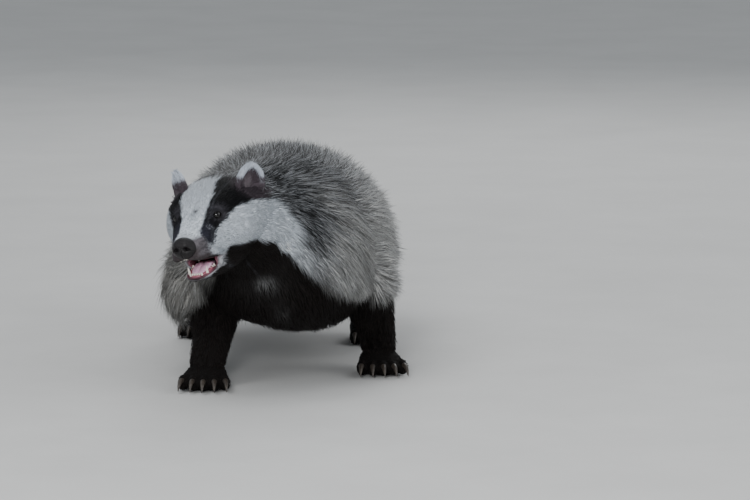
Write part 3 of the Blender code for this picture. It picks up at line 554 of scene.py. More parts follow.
def build_body():
    body = loft("skin", body_rings(TORSO, 4, BODY_SIDES, 0.0), MAIN)
    loft("neck_form", body_rings(NECK, 4, BODY_SIDES, 0.0), SCRAP)
    loft("tail_form", body_rings(TAIL, 4, LIMB_SIDES, 0.0), SCRAP)
    for name, centre, radii, coat in (("throat_form", THROAT, THROAT_RADII, 0.004),
                                      ("shoulder_form", SHOULDER, SHOULDER_RADII, 0.010)):
        ellipsoid(name, centre, [r - coat for r in radii], Matrix.Identity(4), SCRAP, 40)
    for leg, stations in LEGS.items():
        loft(leg + "_form", leg_rings(stations, 3, LEG_FUR), SCRAP)
    for paw in PAWS:
        add_paw(paw, SCRAP)
    combine(body, SCRAP, "UNION")
    remeshed(body, BODY_VOXEL, 150, blending)
    return body


def build_head():
    """The head's skin: skull, muzzle, jaw, lips and cheeks, with the mouth's hollow."""
    head = loft("head_skin", head_rings(SKULL, 6, 48, head_frame(), HEAD_FUR), SCRAP)
    SCRAP.objects.unlink(head)
    MAIN.objects.link(head)
    loft("jaw_form", head_rings(JAW, 5, 40, jaw_frame(), HEAD_FUR * 0.6), SCRAP)
    add_lips(SCRAP)
    for side in (-1, 1):
        x, y, z = CHEEK
        ellipsoid("cheek", Vector((side * x, y, z)), [r - 0.0012 for r in CHEEK_RADII],
                  head_frame(), SCRAP, 32)
    combine(head, SCRAP, "UNION")
    for (centre, radii), place in ((PALATE, head_frame()), (GULLET, head_frame()),
                                   (TRAY, jaw_frame())):
        ellipsoid("hollow", Vector(centre), radii, place, SCRAP, 40)
    combine(head, SCRAP, "DIFFERENCE")
    remeshed(head, HEAD_VOXEL, 7)
    points, normals = points_of(head.data), normals_of(head.data)
    h = in_head(points)
    swell(points, normals, h, (0.0250, -0.0060, -0.0010), (0.010, 0.009, 0.0065), -0.0016)
    swell(points, normals, h, (0.0215, 0.0060, 0.0110), (0.009, 0.012, 0.0050), 0.0012)
    swell(points, normals, h, (0.0150, -0.0360, -0.0300), (0.007, 0.010, 0.0060), 0.0010)
    swell(points, normals, h, (0.0440, 0.0300, -0.0180), (0.014, 0.020, 0.0140), 0.0020)
    swell(points, normals, h, (0.0000, -0.0100, 0.0100), (0.006, 0.022, 0.0100), -0.0010)
    move_points(head.data, points)
    return head


def add_ears(collection):
    """The cup of each ear with its hollow, which faces forwards and out."""
    for side in (-1, 1):
        base = Vector((side * EAR_BASE.x, EAR_BASE.y, EAR_BASE.z))
        wide, deep, high = EAR_RADII
        cup = ellipsoid("cup", Vector(), (wide - 0.001, deep, high - 0.001), ear_frame(side), collection, 56)
        ellipsoid("hollow", Vector((side * 0.0004, -deep * 0.75, 0.0015)),
                  (wide - EAR_WALL, deep * 1.15, high - EAR_WALL * 1.2), ear_frame(side), TOOLS, 48)
        collection.objects.unlink(cup)
        MAIN.objects.link(cup)
        combine(cup, TOOLS, "DIFFERENCE")
        MAIN.objects.unlink(cup)
        collection.objects.link(cup)


def near_ears(points):
    return np.max([smooth(np.linalg.norm(in_ear(points, side), axis=1), 0.036, 0.028)
                   for side in (-1, 1)], axis=0)


def ear_frame(side):
    base = Vector((side * EAR_BASE.x, EAR_BASE.y, EAR_BASE.z))
    return (head_frame() @ Matrix.Translation(base)
            @ Matrix.Rotation(side * EAR_FACING, 4, "Z") @ Matrix.Rotation(side * EAR_LEAN, 4, "Y"))


def build_skin():
    """One closed skin of the whole animal."""
    skin = build_body()
    head = build_head()
    MAIN.objects.unlink(head)
    SCRAP.objects.link(head)
    add_ears(SCRAP)
    combine(skin, SCRAP, "UNION")
    smoothed(skin, 110, lambda p: smooth(np.abs(past_nape(p) - 0.006), 0.030, 0.010)
             * (1 - near_ears(p)))
    for side in (-1, 1):
        ellipsoid("lids", Vector(), (0.0077, 0.0066, 0.0068), eye_frame(side), SCRAP, 40)
    combine(skin, SCRAP, "UNION")
    for side in (-1, 1):
        ellipsoid("socket", Vector(), [EYE_RADIUS + 0.0002] * 3, eye_frame(side), SCRAP, 40)
        ellipsoid("opening", Vector((0, -EYE_RADIUS, 0)), (0.0048, EYE_RADIUS * 0.8, 0.0040),
                  eye_frame(side), SCRAP, 40)
    combine(skin, SCRAP, "DIFFERENCE")
    points = points_of(skin.data)
    points[:, 2] = np.maximum(points[:, 2], 0.0)
    move_points(skin.data, points)
    return skin


# Colours of the fur and the bare skin, as shares of the light that they send back.
WHITE = (0.66, 0.71, 0.77)
CREAM = (0.56, 0.57, 0.58)
BLACK = (0.0040, 0.0040, 0.0052)
BROWN_BLACK = (0.0090, 0.0066, 0.0060)
MUZZLE_PALE = (0.125, 0.115, 0.127)
MUZZLE_BROWN = (0.045, 0.036, 0.038)
STRIPE_END = (0.024, 0.025, 0.036)
EYE_RING = (0.042, 0.040, 0.048)
UPPER_GRAY = (0.078, 0.082, 0.088)
FLANK_GRAY = (0.50, 0.50, 0.49)
# Painted shade: a darker gray painted on the coat's right side, strongest low on the shoulder.
RIGHT_SIDE_PAINTED_SHADE_GRAY = (0.26, 0.255, 0.24)
LOWER_CREAM = (0.44, 0.445, 0.45)
TAIL_GRAY = (0.46, 0.44, 0.40)
TIP_WHITE = (0.74, 0.77, 0.81)
EAR_DARK = (0.080, 0.064, 0.076)
EAR_HAIR = (0.24, 0.21, 0.23)
EAR_RIM = (0.60, 0.65, 0.73)
SCAR = (0.26, 0.27, 0.31)
LIP_DARK = (0.018, 0.011, 0.012)
JAW_RIM = (0.44, 0.45, 0.48)
MOUTH_RED = (0.40, 0.160, 0.215)
# The gullet's deeper red, with painted shade darkening it deep in the mouth.
GULLET_RED_AND_PAINTED_SHADE = (0.090, 0.014, 0.026)
# Dim pale spots on the dark chest: place, reach and strength.
CHEST_SPOTS = (((-0.013, -0.116, 0.127), (0.009, 0.03, 0.006), 0.40),
               ((-0.014, -0.117, 0.121), (0.028, 0.04, 0.020), 0.030),
               ((0.003, -0.099, 0.094), (0.007, 0.03, 0.009), 0.10))

# The middle of the white stripe and half its width, by the head's y.
STRIPE_Y = (-0.050, -0.043, -0.033, -0.019, -0.003, 0.015, 0.034, 0.048, 0.066, 0.090)
STRIPE_X = (0.0030, 0.0030, 0.0026, 0.0014, -0.0011, -0.0051, -0.0105, -0.0142, -0.0150, -0.010)
STRIPE_HALF = (0.0120, 0.0130, 0.0118, 0.0120, 0.0156, 0.0190, 0.0190, 0.0185, 0.0190, 0.020)
# The lower edge of the black stripe, by the head's y.
EDGE_Y = (-0.0380, -0.0365, -0.0350, -0.0317, -0.0220, -0.0200, -0.0180, -0.0160, -0.0116,
          -0.0005, 0.0089, 0.0172, 0.0300, 0.0404, 0.0553, 0.0740, 0.1000)
EDGE_Z = (0.0100, -0.0080, -0.0140, -0.0220, -0.0292, -0.0265, -0.0205, -0.0152, -0.0116,
          -0.0062, -0.0003, 0.0025, 0.0038, 0.0038, 0.0007, -0.0010, -0.0040)
# How much further forward the right black stripe reaches.
RIGHT_STRIPE = 0.009
# The lower edge of the white cheek and of the jaw's pale rim, by the head's y.
CHEEK_Y = (-0.050, -0.0322, -0.0246, -0.0144, -0.0068, -0.0045, -0.0030, 0.0020, 0.0052, 0.0193,
           0.0482, 0.0649, 0.0736, 0.090, 0.120)
CHEEK_Z = (-0.064, -0.0620, -0.0607, -0.0565, -0.0510, -0.0465, -0.0430, -0.0380, -0.0358, -0.0359,
           -0.0385, -0.0453, -0.0548, -0.070, -0.095)
# The lower edge of the gray coat on the neck and shoulder, by the distance from the middle: on
# the left side, and on the right, where it hangs over the leg.
COAT_X = (0.044, 0.058, 0.066, 0.072, 0.079, 0.085, 0.091, 0.097, 0.110)
COAT_Z = (0.182, 0.171, 0.157, 0.139, 0.127, 0.118, 0.111, 0.104, 0.099)
RIGHT_COAT_X = (0.020, 0.030, 0.046, 0.061, 0.069, 0.076, 0.085, 0.095, 0.110)
RIGHT_COAT_Z = (0.180, 0.150, 0.128, 0.120, 0.113, 0.103, 0.092, 0.080, 0.066)

# The middle of the neck, body and tail: place, way back along it, coat's depth, half width.
SPINE_ROWS = np.array([row for row in curve_through(NECK, 8)[::-1] if row[1] < -0.030]
                      + [row for row in curve_through(TORSO, 8) if -0.024 < row[1] < 0.370]
                      + [row for row in curve_through(TAIL, 8) if row[1] > 0.405])
SPINE = SPINE_ROWS[:, :3]
SPINE_WAY = np.gradient(SPINE, axis=0)
SPINE_WAY /= np.linalg.norm(SPINE_WAY, axis=1)[:, None]
SPINE_DEPTH = SPINE_ROWS[:, 6]
SPINE_LENGTH = np.concatenate([[0], np.cumsum(np.linalg.norm(np.diff(SPINE, axis=0), axis=1))])


def nearest_spine(points):
    found = []
    for part in np.array_split(points, max(1, len(points) // 20000)):
        found.append(((part[:, None] - SPINE[None]) ** 2).sum(axis=2).argmin(axis=1))
    return np.concatenate(found)


def coat_edge(points):
    """How far down the gray coat grows: low on the flanks, higher on the chest and the legs."""
    aside = points[:, 0] - np.interp(points[:, 1], SPINE[:, 1], SPINE[:, 0])
    front = np.where(aside > 0, np.interp(aside, COAT_X, COAT_Z),
                     np.interp(-aside, RIGHT_COAT_X, RIGHT_COAT_Z))
    legs = np.array([stations[2][:2] for stations in LEGS.values()])
    same = np.sign(points[:, :1]) == np.sign(legs[None, :, 0])
    reach = np.where(same, np.abs(points[:, 1:2] - legs[None, :, 1]), 1).min(axis=1)
    rear = 0.098 - 0.014 * smooth(reach, 0.045, 0.075)
    back = np.where(aside > 0, smooth(points[:, 1], -0.02, 0.03), smooth(points[:, 1], 0.04, 0.09))
    return front + (rear - front) * back


def leg_share(points):
    """1 on the legs and paws, 0 on the body."""
    found = np.zeros(len(points))
    for rows in LEGS.values():
        rows = np.array(rows)[::-1]
        x = np.interp(points[:, 2], rows[:, 2], rows[:, 0])
        y = np.interp(points[:, 2], rows[:, 2], rows[:, 1])
        away = np.hypot(points[:, 0] - x, points[:, 1] - y)
        found = np.maximum(found, smooth(away, 0.075, 0.050))
    return found * smooth(points[:, 2], 0.105, 0.080)


def face_colours(points, h):
    """White with a black stripe through each eye, a pale muzzle, dark lips and a red mouth."""
    hx, hy, hz = h.T
    wobble = lumps(points, 0.010, 3) * 0.0010
    middle = np.interp(hy, STRIPE_Y, STRIPE_X)
    half = np.interp(hy, STRIPE_Y, STRIPE_HALF)
    white = 1 - smooth(np.abs(hx - middle) + wobble, half - 0.0012, half + 0.0012)
    along = hy + RIGHT_STRIPE * smooth(hx, 0.0, -0.006) * smooth(hy, -0.012, -0.030)
    edge = np.interp(along, EDGE_Y, EDGE_Z)
    above = smooth(hz + wobble, edge - 0.0013, edge + 0.0013)
    black = mix(BLACK, STRIPE_END, smooth(hy, -0.010, -0.030))
    face = mix(WHITE, black, above * (1 - white))
    muzzle = smooth(hy, -0.020, -0.034) * (1 - above) * smooth(hz, -0.012, -0.017)
    face = mix(face, MUZZLE_PALE, muzzle)
    brow = smooth(hy, -0.036, -0.043) * smooth(hz, -0.016, -0.010)
    face = mix(face, MUZZLE_BROWN, brow * 0.6)
    lip = smooth(hz, -0.0325, -0.0350) * smooth(hy, -0.020, -0.034)
    lip = np.maximum(lip, smooth(hz, -0.021, -0.028) * smooth(hy, -0.036, -0.042) * smooth(np.abs(hx), 0.018, 0.013))
    face = mix(face, MUZZLE_BROWN, lip * 0.9)
    cheek = np.interp(hy, CHEEK_Y, CHEEK_Z)
    face = mix(face, BROWN_BLACK, smooth(hz + wobble * 2, cheek + 0.0020, cheek - 0.0025))
    for side in (-1, 1):
        away = np.linalg.norm(points - np.array(eye_frame(side))[:3, 3], axis=1)
        ring = smooth(away, 0.0135, 0.0090) * smooth(away, 0.0060, 0.0078)
        face = mix(face, EYE_RING, 0.75 * ring)
    spots = np.exp(-((np.abs(hx) - 0.0165) / 0.004) ** 2 - ((hy + 0.034) / 0.010) ** 2
                   - ((hz + 0.0285) / 0.005) ** 2)
    dots = smooth(np.sin(hy * 1900) * np.sin(hz * 2300 + hy * 700), 0.55, 0.8)
    face = mix(face, MUZZLE_BROWN, spots * dots)
    mark = np.exp(-((hx - 0.0010) / 0.0042) ** 4 - ((hy + 0.0086) / 0.0015) ** 2)
    face = mix(face, MUZZLE_BROWN, mark * (hz > -0.01))
    down = np.clip((-0.0065 - hz) / 0.0055, 0, 1)
    scar = np.exp(-((hx - 0.0178 - 0.0047 * down) / 0.0006) ** 2 - ((down - 0.5) / 0.45) ** 4)
    face = mix(face, SCAR, 0.9 * scar)
    mouth = in_mouth(points)
    low = smooth(in_jaw(points)[:, 2], -0.028, -0.032) * smooth(hy, 0.003, -0.004)
    chin = smooth(hy, -0.020, -0.032)
    rim = 1.36 - 0.08 * chin + 0.12 * smooth(hy, -0.014, -0.002)
    face = mix(face, JAW_RIM, low * (1 - 0.45 * chin) * smooth(mouth, rim, rim - 0.08))
    between = smooth(np.abs(hx), 0.0205, 0.0190) * smooth(hz, -0.0385, -0.0400)
    inside = between * smooth(in_jaw(points)[:, 2], -0.0425, -0.0410) * smooth(hy, -0.004, -0.008)
    lips = 1.15 + 0.09 * smooth(hy, -0.006, -0.016)
    lips = smooth(mouth, lips, lips - 0.04) * smooth(hy, 0.002, -0.006)
    face = mix(face, LIP_DARK, np.maximum(lips, inside))
    inner = inside * smooth(np.abs(hx), 0.0195, 0.0180) * smooth(hy, -0.005, -0.009)
    # The flesh turns darker red towards the back and middle of the mouth: partly its own deeper red, partly painted
    # shade in the hollow.
    flesh = mix(MOUTH_RED, GULLET_RED_AND_PAINTED_SHADE, smooth(hy, -0.020, -0.006) * smooth(np.abs(hx), 0.016, 0.012))
    flesh = mix(flesh, LIP_DARK, 0.7 * chin * smooth(mouth, 0.98, 1.05))
    return mix(face, flesh, np.maximum(smooth(mouth, 1.11, 1.07), inner))


def markings(points):
    """The fur's colour at each point, and how grizzled it is from 0 to 1."""
    h = in_head(points)
    hx, hy, hz = h.T
    height = points[:, 2] - coat_edge(points) + lumps(points, 0.03, 5) * 0.004
    coat = smooth(height, -0.010, 0.012)
    fore = smooth(points[:, 1], -0.075, -0.110)
    line = np.minimum(coat_edge(points) + 0.030, 0.204) + lumps(points, 0.03, 5) * 0.004
    upper = smooth(points[:, 2], 0.166 + (line - 0.173) * fore, 0.248 + (line - 0.235) * fore)
    tone = mix(mix(FLANK_GRAY, LOWER_CREAM, fore), UPPER_GRAY, upper)
    # Painted shade: the right shoulder and neck are painted darker and less grizzled, most low down.
    right = smooth(points[:, 0], -0.030, -0.060) * smooth(points[:, 1], 0.12, -0.02)
    tone = mix(tone, RIGHT_SIDE_PAINTED_SHADE_GRAY, 0.9 * right * (1 - 0.7 * smooth(points[:, 2], 0.13, 0.20)))
    nape = smooth(points[:, 1], -0.090, -0.125) * (1 - upper)
    tone = mix(tone, WHITE, nape * 0.6)
    tail = smooth(points[:, 1], 0.395, 0.425)
    tone = mix(tone, TAIL_GRAY, tail)
    coat = np.maximum(coat, tail)
    body = mix(BROWN_BLACK, tone, coat)
    for place, reach, share in CHEST_SPOTS:
        body = mix(body, CREAM, share * np.exp(-(((points - place) / reach) ** 2).sum(axis=1)))
    end = hy + np.where(hz < 0, 0.7, 0.45) * hz + lumps(points, 0.014, 9) * 0.0025
    head = smooth(end, 0.0810, 0.0700) * smooth(past_nape(points), 0.040, 0.020)
    grizzle = np.maximum(coat * (0.55 + 0.45 * upper) * (1 - 0.4 * right), 0.18) * (1 - 0.3 * tail) * (1 - head)
    colour = mix(body, face_colours(points, h), head)
    for side, inner, low in ((-1, 0.35, 0.0085), (1, 0.62, 0.0060)):
        e = in_ear(points, side)
        wide, deep, high = EAR_RADII
        base = smooth(np.linalg.norm(e, axis=1), 0.031, 0.020) * smooth(hz, -0.004, 0.004) * head
        below = base * smooth(colour.max(axis=1), 0.10, 0.03)
        colour = mix(colour, EAR_DARK, 0.8 * below)
        on_ear = smooth(np.linalg.norm(e / (wide, deep, high), axis=1), 1.12, 1.04) * (hz > 0.014)
        out = np.hypot(e[:, 0] / wide, e[:, 2] / high)
        rim = smooth(out, inner, inner + 0.11) * smooth(e[:, 2], low, low + 0.0055)
        tuft = smooth(np.abs(e[:, 0] + side * 0.004), 0.009, 0.002) * smooth(e[:, 2], 0.018, 0.006)
        ear = mix(mix(EAR_DARK, EAR_HAIR, 0.6 * tuft), EAR_RIM, rim)
        colour = mix(colour, ear, on_ear)
        grizzle = grizzle * (1 - on_ear)
    return colour, grizzle


class Surface:
    """A mesh to plant tufts on."""

    def __init__(self, mesh):
        mesh.calc_loop_triangles()
        corners = np.empty(len(mesh.loop_triangles) * 3, np.int32)
        mesh.loop_triangles.foreach_get("vertices", corners)
        self.corners = corners.reshape(-1, 3)
        self.points = points_of(mesh)
        a, b, c = (self.points[self.corners[:, k]] for k in range(3))
        cross = np.cross(b - a, c - a)
        self.areas = np.linalg.norm(cross, axis=1) / 2
        normals = normals_of(mesh)[self.corners].sum(axis=1)
        self.normals = normals / np.linalg.norm(normals, axis=1)[:, None]
        self.middles = (a + b + c) / 3
        self.tree = BVHTree.FromPolygons(self.points.tolist(), self.corners.tolist())

    def scatter(self, weight, count):
        """Random places, as many on each triangle as its area and weight give it."""
        share = self.areas * weight
        faces = RNG.choice(len(share), count, p=share / share.sum())
        s = np.sqrt(RNG.random(count))[:, None]
        t = RNG.random(count)[:, None]
        a, b, c = (self.points[self.corners[faces, k]] for k in range(3))
        return a * (1 - s) + b * (s * (1 - t)) + c * (s * t), self.normals[faces]

    def nearest(self, points):
        found = np.empty_like(points)
        normals = np.empty_like(points)
        away = np.empty(len(points))
        for i, point in enumerate(points.tolist()):
            place, _, face, away[i] = self.tree.find_nearest(point)
            found[i] = place
            normals[i] = self.normals[face]
        return found, normals, away


def unit(vectors):
    return vectors / np.maximum(np.linalg.norm(vectors, axis=1), 1e-9)[:, None]


def zones(points):
    """Each point's share of head, leg, paw, tail and ear."""
    past = past_nape(points)
    h = in_head(points)
    head = smooth(past, 0.014, -0.014)
    leg = leg_share(points)
    paw = smooth(points[:, 2], 0.034, 0.022) * leg
    tail = smooth(points[:, 1], 0.400, 0.430)
    ear = np.zeros(len(points))
    for side in (-1, 1):
        e = in_ear(points, side)
        wide, deep, high = EAR_RADII
        ear = np.maximum(ear, smooth(np.linalg.norm(e / (wide, deep, high), axis=1), 1.12, 1.02)
                         * (e[:, 2] > -0.010))
    ear *= (h[:, 2] > 0.014)
    return head, leg, paw, tail, ear


def in_ear(points, side):
    place = np.linalg.inv(np.array(ear_frame(side)))
    return points @ place[:3, :3].T + place[:3, 3]


def lie_of(points, normals):
    """The way that the fur lies at each point."""
    head, leg, paw, tail, ear = zones(points)
    near = nearest_spine(points)
    way = SPINE_WAY[near].copy()
    loose = (1 - tail)[:, None]
    way += loose * np.array((0, 0, -1.0)) * (0.45 * normals[:, :1] ** 2
                                           + 0.9 * np.maximum(0, -normals[:, 1:2]) ** 2)
    back = np.array(HEAD[:3, 1])
    down = -np.array(HEAD[:3, 2])
    sides = in_head(points)
    face = back + down * 0.35 * smooth(np.abs(sides[:, 0]), 0.020, 0.045)[:, None]
    way = way * (1 - head[:, None]) + face * head[:, None]
    way = way * (1 - leg[:, None]) + np.array((0, 0.10, -1.0)) * leg[:, None]
    toes_way = np.array((0, -1.0, -0.15))
    way = way * (1 - paw[:, None]) + toes_way * paw[:, None]
    for side in (-1, 1):
        up = np.array(ear_frame(side))[:3, 2]
        near_ear = ear * (np.sign(in_head(points)[:, 0]) == side)
        way = way * (1 - near_ear[:, None]) + up * near_ear[:, None]
    way -= normals * (way * normals).sum(axis=1)[:, None]
    return unit(way)


def unwrap(points):
    """Each point's place on an unwrap of the skin: round the body by along it, and the legs below."""
    near = nearest_spine(points)
    out = points - SPINE[near]
    u = np.arctan2(out[:, 0], out[:, 2]) / (2 * math.pi) + 0.5
    h = in_head(points)
    head = past_nape(points) < 0.0
    u[head] = np.arctan2(h[head, 0], h[head, 2] + 0.015) / (2 * math.pi) + 0.5
    along = SPINE_LENGTH[near] / SPINE_LENGTH[-1]
    v = 0.48 + 0.50 * along
    v[head] = 0.28 + 0.19 * np.clip((h[head, 1] + 0.06) / 0.19, 0, 1)
    leg = leg_share(points) > 0.5
    for k, rows in enumerate(LEGS.values()):
        rows = np.array(rows)[::-1]
        x = np.interp(points[:, 2], rows[:, 2], rows[:, 0])
        y = np.interp(points[:, 2], rows[:, 2], rows[:, 1])
        mine = leg & (np.hypot(points[:, 0] - x, points[:, 1] - y) < 0.075)
        angle = np.arctan2(points[mine, 1] - y[mine], points[mine, 0] - x[mine])
        u[mine] = (k + 0.5 + angle / (2 * math.pi)) / 4
        v[mine] = 0.02 + 0.24 * np.clip(points[mine, 2] / 0.115, 0, 1)
    return np.stack([u * 0.99, v], axis=1)


# A tuft's width at each ring as a share of its widest, and how far along it each ring stands.
LONG_RINGS = ((0.0, 0.65), (0.42, 1.0))
SHORT_RINGS = ((0.0, 0.75), (0.45, 1.0))
UV_PATCH = 0.003
# The share of tufts that stand out from the rest.
STANDING = 0.14


def marched(surface, points, normals, length, steps, sway):
    """Walks along the lie of the coat from each root. Gives the places and normals at each step."""
    places, ups, ways = [points], [normals], []
    for first, last in zip(steps, steps[1:]):
        lie = lie_of(places[-1], ups[-1])
        side = np.cross(lie, ups[-1])
        lie = unit(lie + side * sway[:, None])
        ways.append(lie)
        ahead = places[-1] + lie * (length * (last - first))[:, None]
        found, up, away = surface.nearest(ahead)
        beyond = away > 0.3 * length
        found[beyond] = ahead[beyond]
        places.append(found)
        ups.append(up)
    ways.append(ways[-1])
    return places, ups, ways


def clumped(rings, roots, every, strength, steps):
    """Draws each tuft towards the nearest guide tuft, most at its tip."""
    guides = np.arange(0, len(roots), every)
    tree = KDTree(len(guides))
    for k, g in enumerate(guides):
        tree.insert(roots[g], k)
    tree.balance()
    own = guides[[tree.find(p)[1] for p in roots.tolist()]]
    return [ring + (ring[own] - ring) * (strength * s ** 1.2) for s, ring in zip(steps, rings)]


def tufts(name, surface, weight, count, size, colours, rings=LONG_RINGS, clump=(6, 0.42),
          seed=1, fur=None):
    """Fur as one mesh of closed tapered blades.

    size gives each root's length, lift and width; colours gives the colour of each ring and the tip."""
    points, normals = surface.scatter(weight, count)
    order = np.argsort(points[:, 1])
    points, normals = points[order], normals[order]
    length, lift, width = size(points, normals)
    length = length * RNG.uniform(0.75, 1.15, count)
    standing = RNG.random(count) < STANDING
    lift = lift * np.where(standing, RNG.uniform(1.0, 1.3, count), RNG.uniform(0.40, 1.0, count))
    width = width * RNG.uniform(0.75, 1.2, count)
    sway = RNG.normal(0, 0.16, count)
    steps = [s for s, _ in rings] + [1.0]
    places, ups, ways = marched(surface, points, normals, length, steps, sway)
    root = 0.0012
    spine_points = [p + n * (-root + (root + lift) * (1 - (1 - s) ** 1.6))[:, None]
                    for s, p, n in zip(steps, places, ups)]
    if clump:
        spine_points = clumped(spine_points, points, clump[0], clump[1], steps)
    blades = []
    for k, (s, wide) in enumerate(rings):
        along = unit(spine_points[k + 1] - spine_points[max(k - 1, 0)])
        across = unit(np.cross(along, ups[k]))
        up = np.cross(across, along)
        half = across * (width * wide / 2)[:, None]
        high = up * (width * wide * 0.30)[:, None]
        middle = spine_points[k]
        blades += [middle - half - high * 0.4, middle + half - high * 0.4, middle + high * 0.8]
    blades.append(spine_points[-1])
    shape = np.stack(blades, axis=1)
    shape[:, :, 2] = np.maximum(shape[:, :, 2], 0.0004)
    shades = colours(points, normals, steps)
    per_tuft = shape.shape[1]
    tone = np.repeat(np.stack(shades[:-1], axis=1), 3, axis=1)
    tone = np.concatenate([tone, shades[-1][:, None]], axis=1)

    corners, spots = blade_faces(len(rings), steps)
    obj = mesh_from(name, shape.reshape(-1, 3), corners, per_tuft, count)
    mesh = obj.data
    # The fur's colour at each point, with painted shade at the roots.
    paint = mesh.attributes.new("fur_colour_and_root_shade", "FLOAT_COLOR", "POINT")
    flat = np.ones((count * per_tuft, 4), np.float32)
    flat[:, :3] = tone.reshape(-1, 3)
    paint.data.foreach_set("color", flat.ravel())
    shade_smooth(obj)
    spots = np.array(spots) * UV_PATCH
    uv = (unwrap(points)[:, None, :] + spots[None]).astype(np.float32)
    mesh.uv_layers.new(name="OFBake").data.foreach_set("uv", uv.ravel())
    mesh.materials.append(fur)
    return obj


def blade_faces(rings, steps):
    """The corners of one blade's faces, and each corner's place in its patch of the unwrap."""
    corners = [(0, 2, 1)]
    spots = [(0, 0), (1, 0), (0.5, 0.02)]
    for r in range(rings - 1):
        for k in range(3):
            n = (k + 1) % 3
            corners.append((3 * r + k, 3 * r + n, 3 * r + 3 + n, 3 * r + 3 + k))
            low, high = steps[r], steps[r + 1]
            spots += [(k / 3, low), ((k + 1) / 3, low), ((k + 1) / 3, high), (k / 3, high)]
    last = 3 * (rings - 1)
    for k in range(3):
        corners.append((last + k, last + (k + 1) % 3, 3 * rings))
        spots += [(k / 3, steps[-2]), ((k + 1) / 3, steps[-2]), ((k + 0.5) / 3, 1.0)]
    return corners, spots


def mesh_from(name, points, corners, per_copy, copies):
    """A mesh of many copies of the same faces."""
    sizes = np.array([len(c) for c in corners])
    flat = np.concatenate([np.array(c) for c in corners])
    loops = (flat[None] + (np.arange(copies) * per_copy)[:, None]).ravel().astype(np.int32)
    totals = np.tile(sizes, copies).astype(np.int32)
    starts = np.concatenate([[0], np.cumsum(totals)[:-1]]).astype(np.int32)
    mesh = bpy.data.meshes.new(name)
    mesh.vertices.add(len(points))
    mesh.vertices.foreach_set("co", points.astype(np.float32).ravel())
    mesh.loops.add(len(loops))
    mesh.loops.foreach_set("vertex_index", loops)
    mesh.polygons.add(len(totals))
    mesh.polygons.foreach_set("loop_start", starts)
    mesh.update(calc_edges=True)
    mesh.validate()
    obj = bpy.data.objects.new(name, mesh)
    MAIN.objects.link(obj)
    return obj


def body_size(points, normals):
    """Length, lift and width of the long coat's tufts."""
    near = nearest_spine(points)
    depth = SPINE_DEPTH[near]
    height = points[:, 2] - coat_edge(points)
    tail = smooth(points[:, 1], 0.395, 0.425)
    coat = np.maximum(smooth(height, -0.006, 0.010), tail)
    full = np.maximum(0.48 + 0.52 * smooth(height, 0.002, 0.055), tail)
    belly = smooth(-normals[:, 2], 0.5, 0.8)
    long = 0.064 * np.minimum(1, 0.22 + depth / 0.034)
    length = 0.024 + (long * full - 0.024) * coat * (1 - 0.4 * belly)
    lift = 0.007 + (depth * 0.98 - 0.007) * coat * (1 - 0.5 * belly)
    grown = 0.30 + 0.70 * smooth(past_nape(points), 0.004, 0.075)
    side = smooth(np.abs(normals[:, 0]), 0.5, 0.9) * smooth(normals[:, 2], 0.5, 0.1)
    side = side * (1 - smooth(points[:, 0], -0.06, -0.08) * smooth(points[:, 1], 0.08, 0.02))
    return length * grown, lift * grown * (1 - 0.22 * side), (0.0008 + 0.00016 * coat) * (0.6 + 0.4 * grown)


def leg_size(points, normals):
    paw = smooth(points[:, 2], 0.034, 0.020)
    thigh = smooth(points[:, 2], 0.055, 0.105)
    length = 0.012 + 0.012 * thigh - 0.006 * paw
    lift = LEG_FUR * (0.9 + 1.2 * thigh) * (1 - 0.55 * paw)
    return length, lift, np.full(len(points), 0.0008)


HEAD_Y = (-0.045, -0.020, 0.010, 0.040, 0.070, 0.095)
HEAD_LENGTH = (0.0035, 0.0060, 0.0090, 0.0125, 0.0180, 0.0260)
HEAD_LIFT = (0.0005, 0.0009, 0.0015, 0.0026, 0.0042, 0.0070)


def head_size(points, normals):
    y = in_head(points)[:, 1]
    ear = zones(points)[4]
    length = np.interp(y, HEAD_Y, HEAD_LENGTH)
    length = length * (1 - ear) + 0.0075 * ear
    lift = np.interp(y, HEAD_Y, HEAD_LIFT) * (1 - ear) + 0.0020 * ear
    return length, lift, 0.00045 + 0.0003 * smooth(y, 0.0, 0.07) * (1 - ear)


def coat_colours(points, normals, steps):
    """Banded hairs: roots darkened partly as under-colour and partly as painted shade deep in the coat, pale
    middles, a dark band below the tip and many white tips.
    """
    colour, grizzle = markings(points)
    count = len(points)
    shade = RNG.normal(1.0, 0.12, (count, 1))
    patch = 1 + 0.16 * lumps(points, 0.030, 11)[:, None]
    kind = RNG.random((count, 1)) + 0.24 * lumps(points, 0.013, 13)[:, None]
    dark = kind < 0.42
    light = kind > 0.72
    g = grizzle[:, None]
    base = colour * shade * patch
    found = []
    for s in steps:
        # Painted shade: the root ring is darkened as shade deep in the coat, besides the hairs' darker under-colour.
        if s < 0.2:
            ring = base * (1 - 0.45 * g)
        elif s < 0.9:
            ring = np.where(dark, base * (1 - 0.90 * g),
                            np.where(light, base * (1 - 0.20 * g), base * (1 + 0.15 * g)))
        else:
            white = base * (1 - g) + g * np.array(TIP_WHITE)
            ring = np.where(dark, base * (1 - 0.90 * g), np.where(light, white, base * (1 + 0.3 * g)))
        found.append(np.clip(ring, 0.002, 0.9))
    return found


def short_colours(points, normals, steps):
    colour, grizzle = markings(points)
    base = colour * RNG.normal(1.0, 0.10, (len(points), 1))
    kind = RNG.random((len(points), 1)) + 0.2 * lumps(points, 0.010, 13)[:, None]
    g = grizzle[:, None]
    base = np.where(kind < 0.42, base * (1 - 0.8 * g), base)
    base = np.where(kind > 0.74, base * (1 - 0.6 * g) + np.array(TIP_WHITE) * 0.6 * g, base)
    # Painted shade: each ring is painted darker towards the root and lighter towards the tip.
    return [np.clip(base * (0.72 + 0.32 * s), 0.002, 0.9) for s in steps]


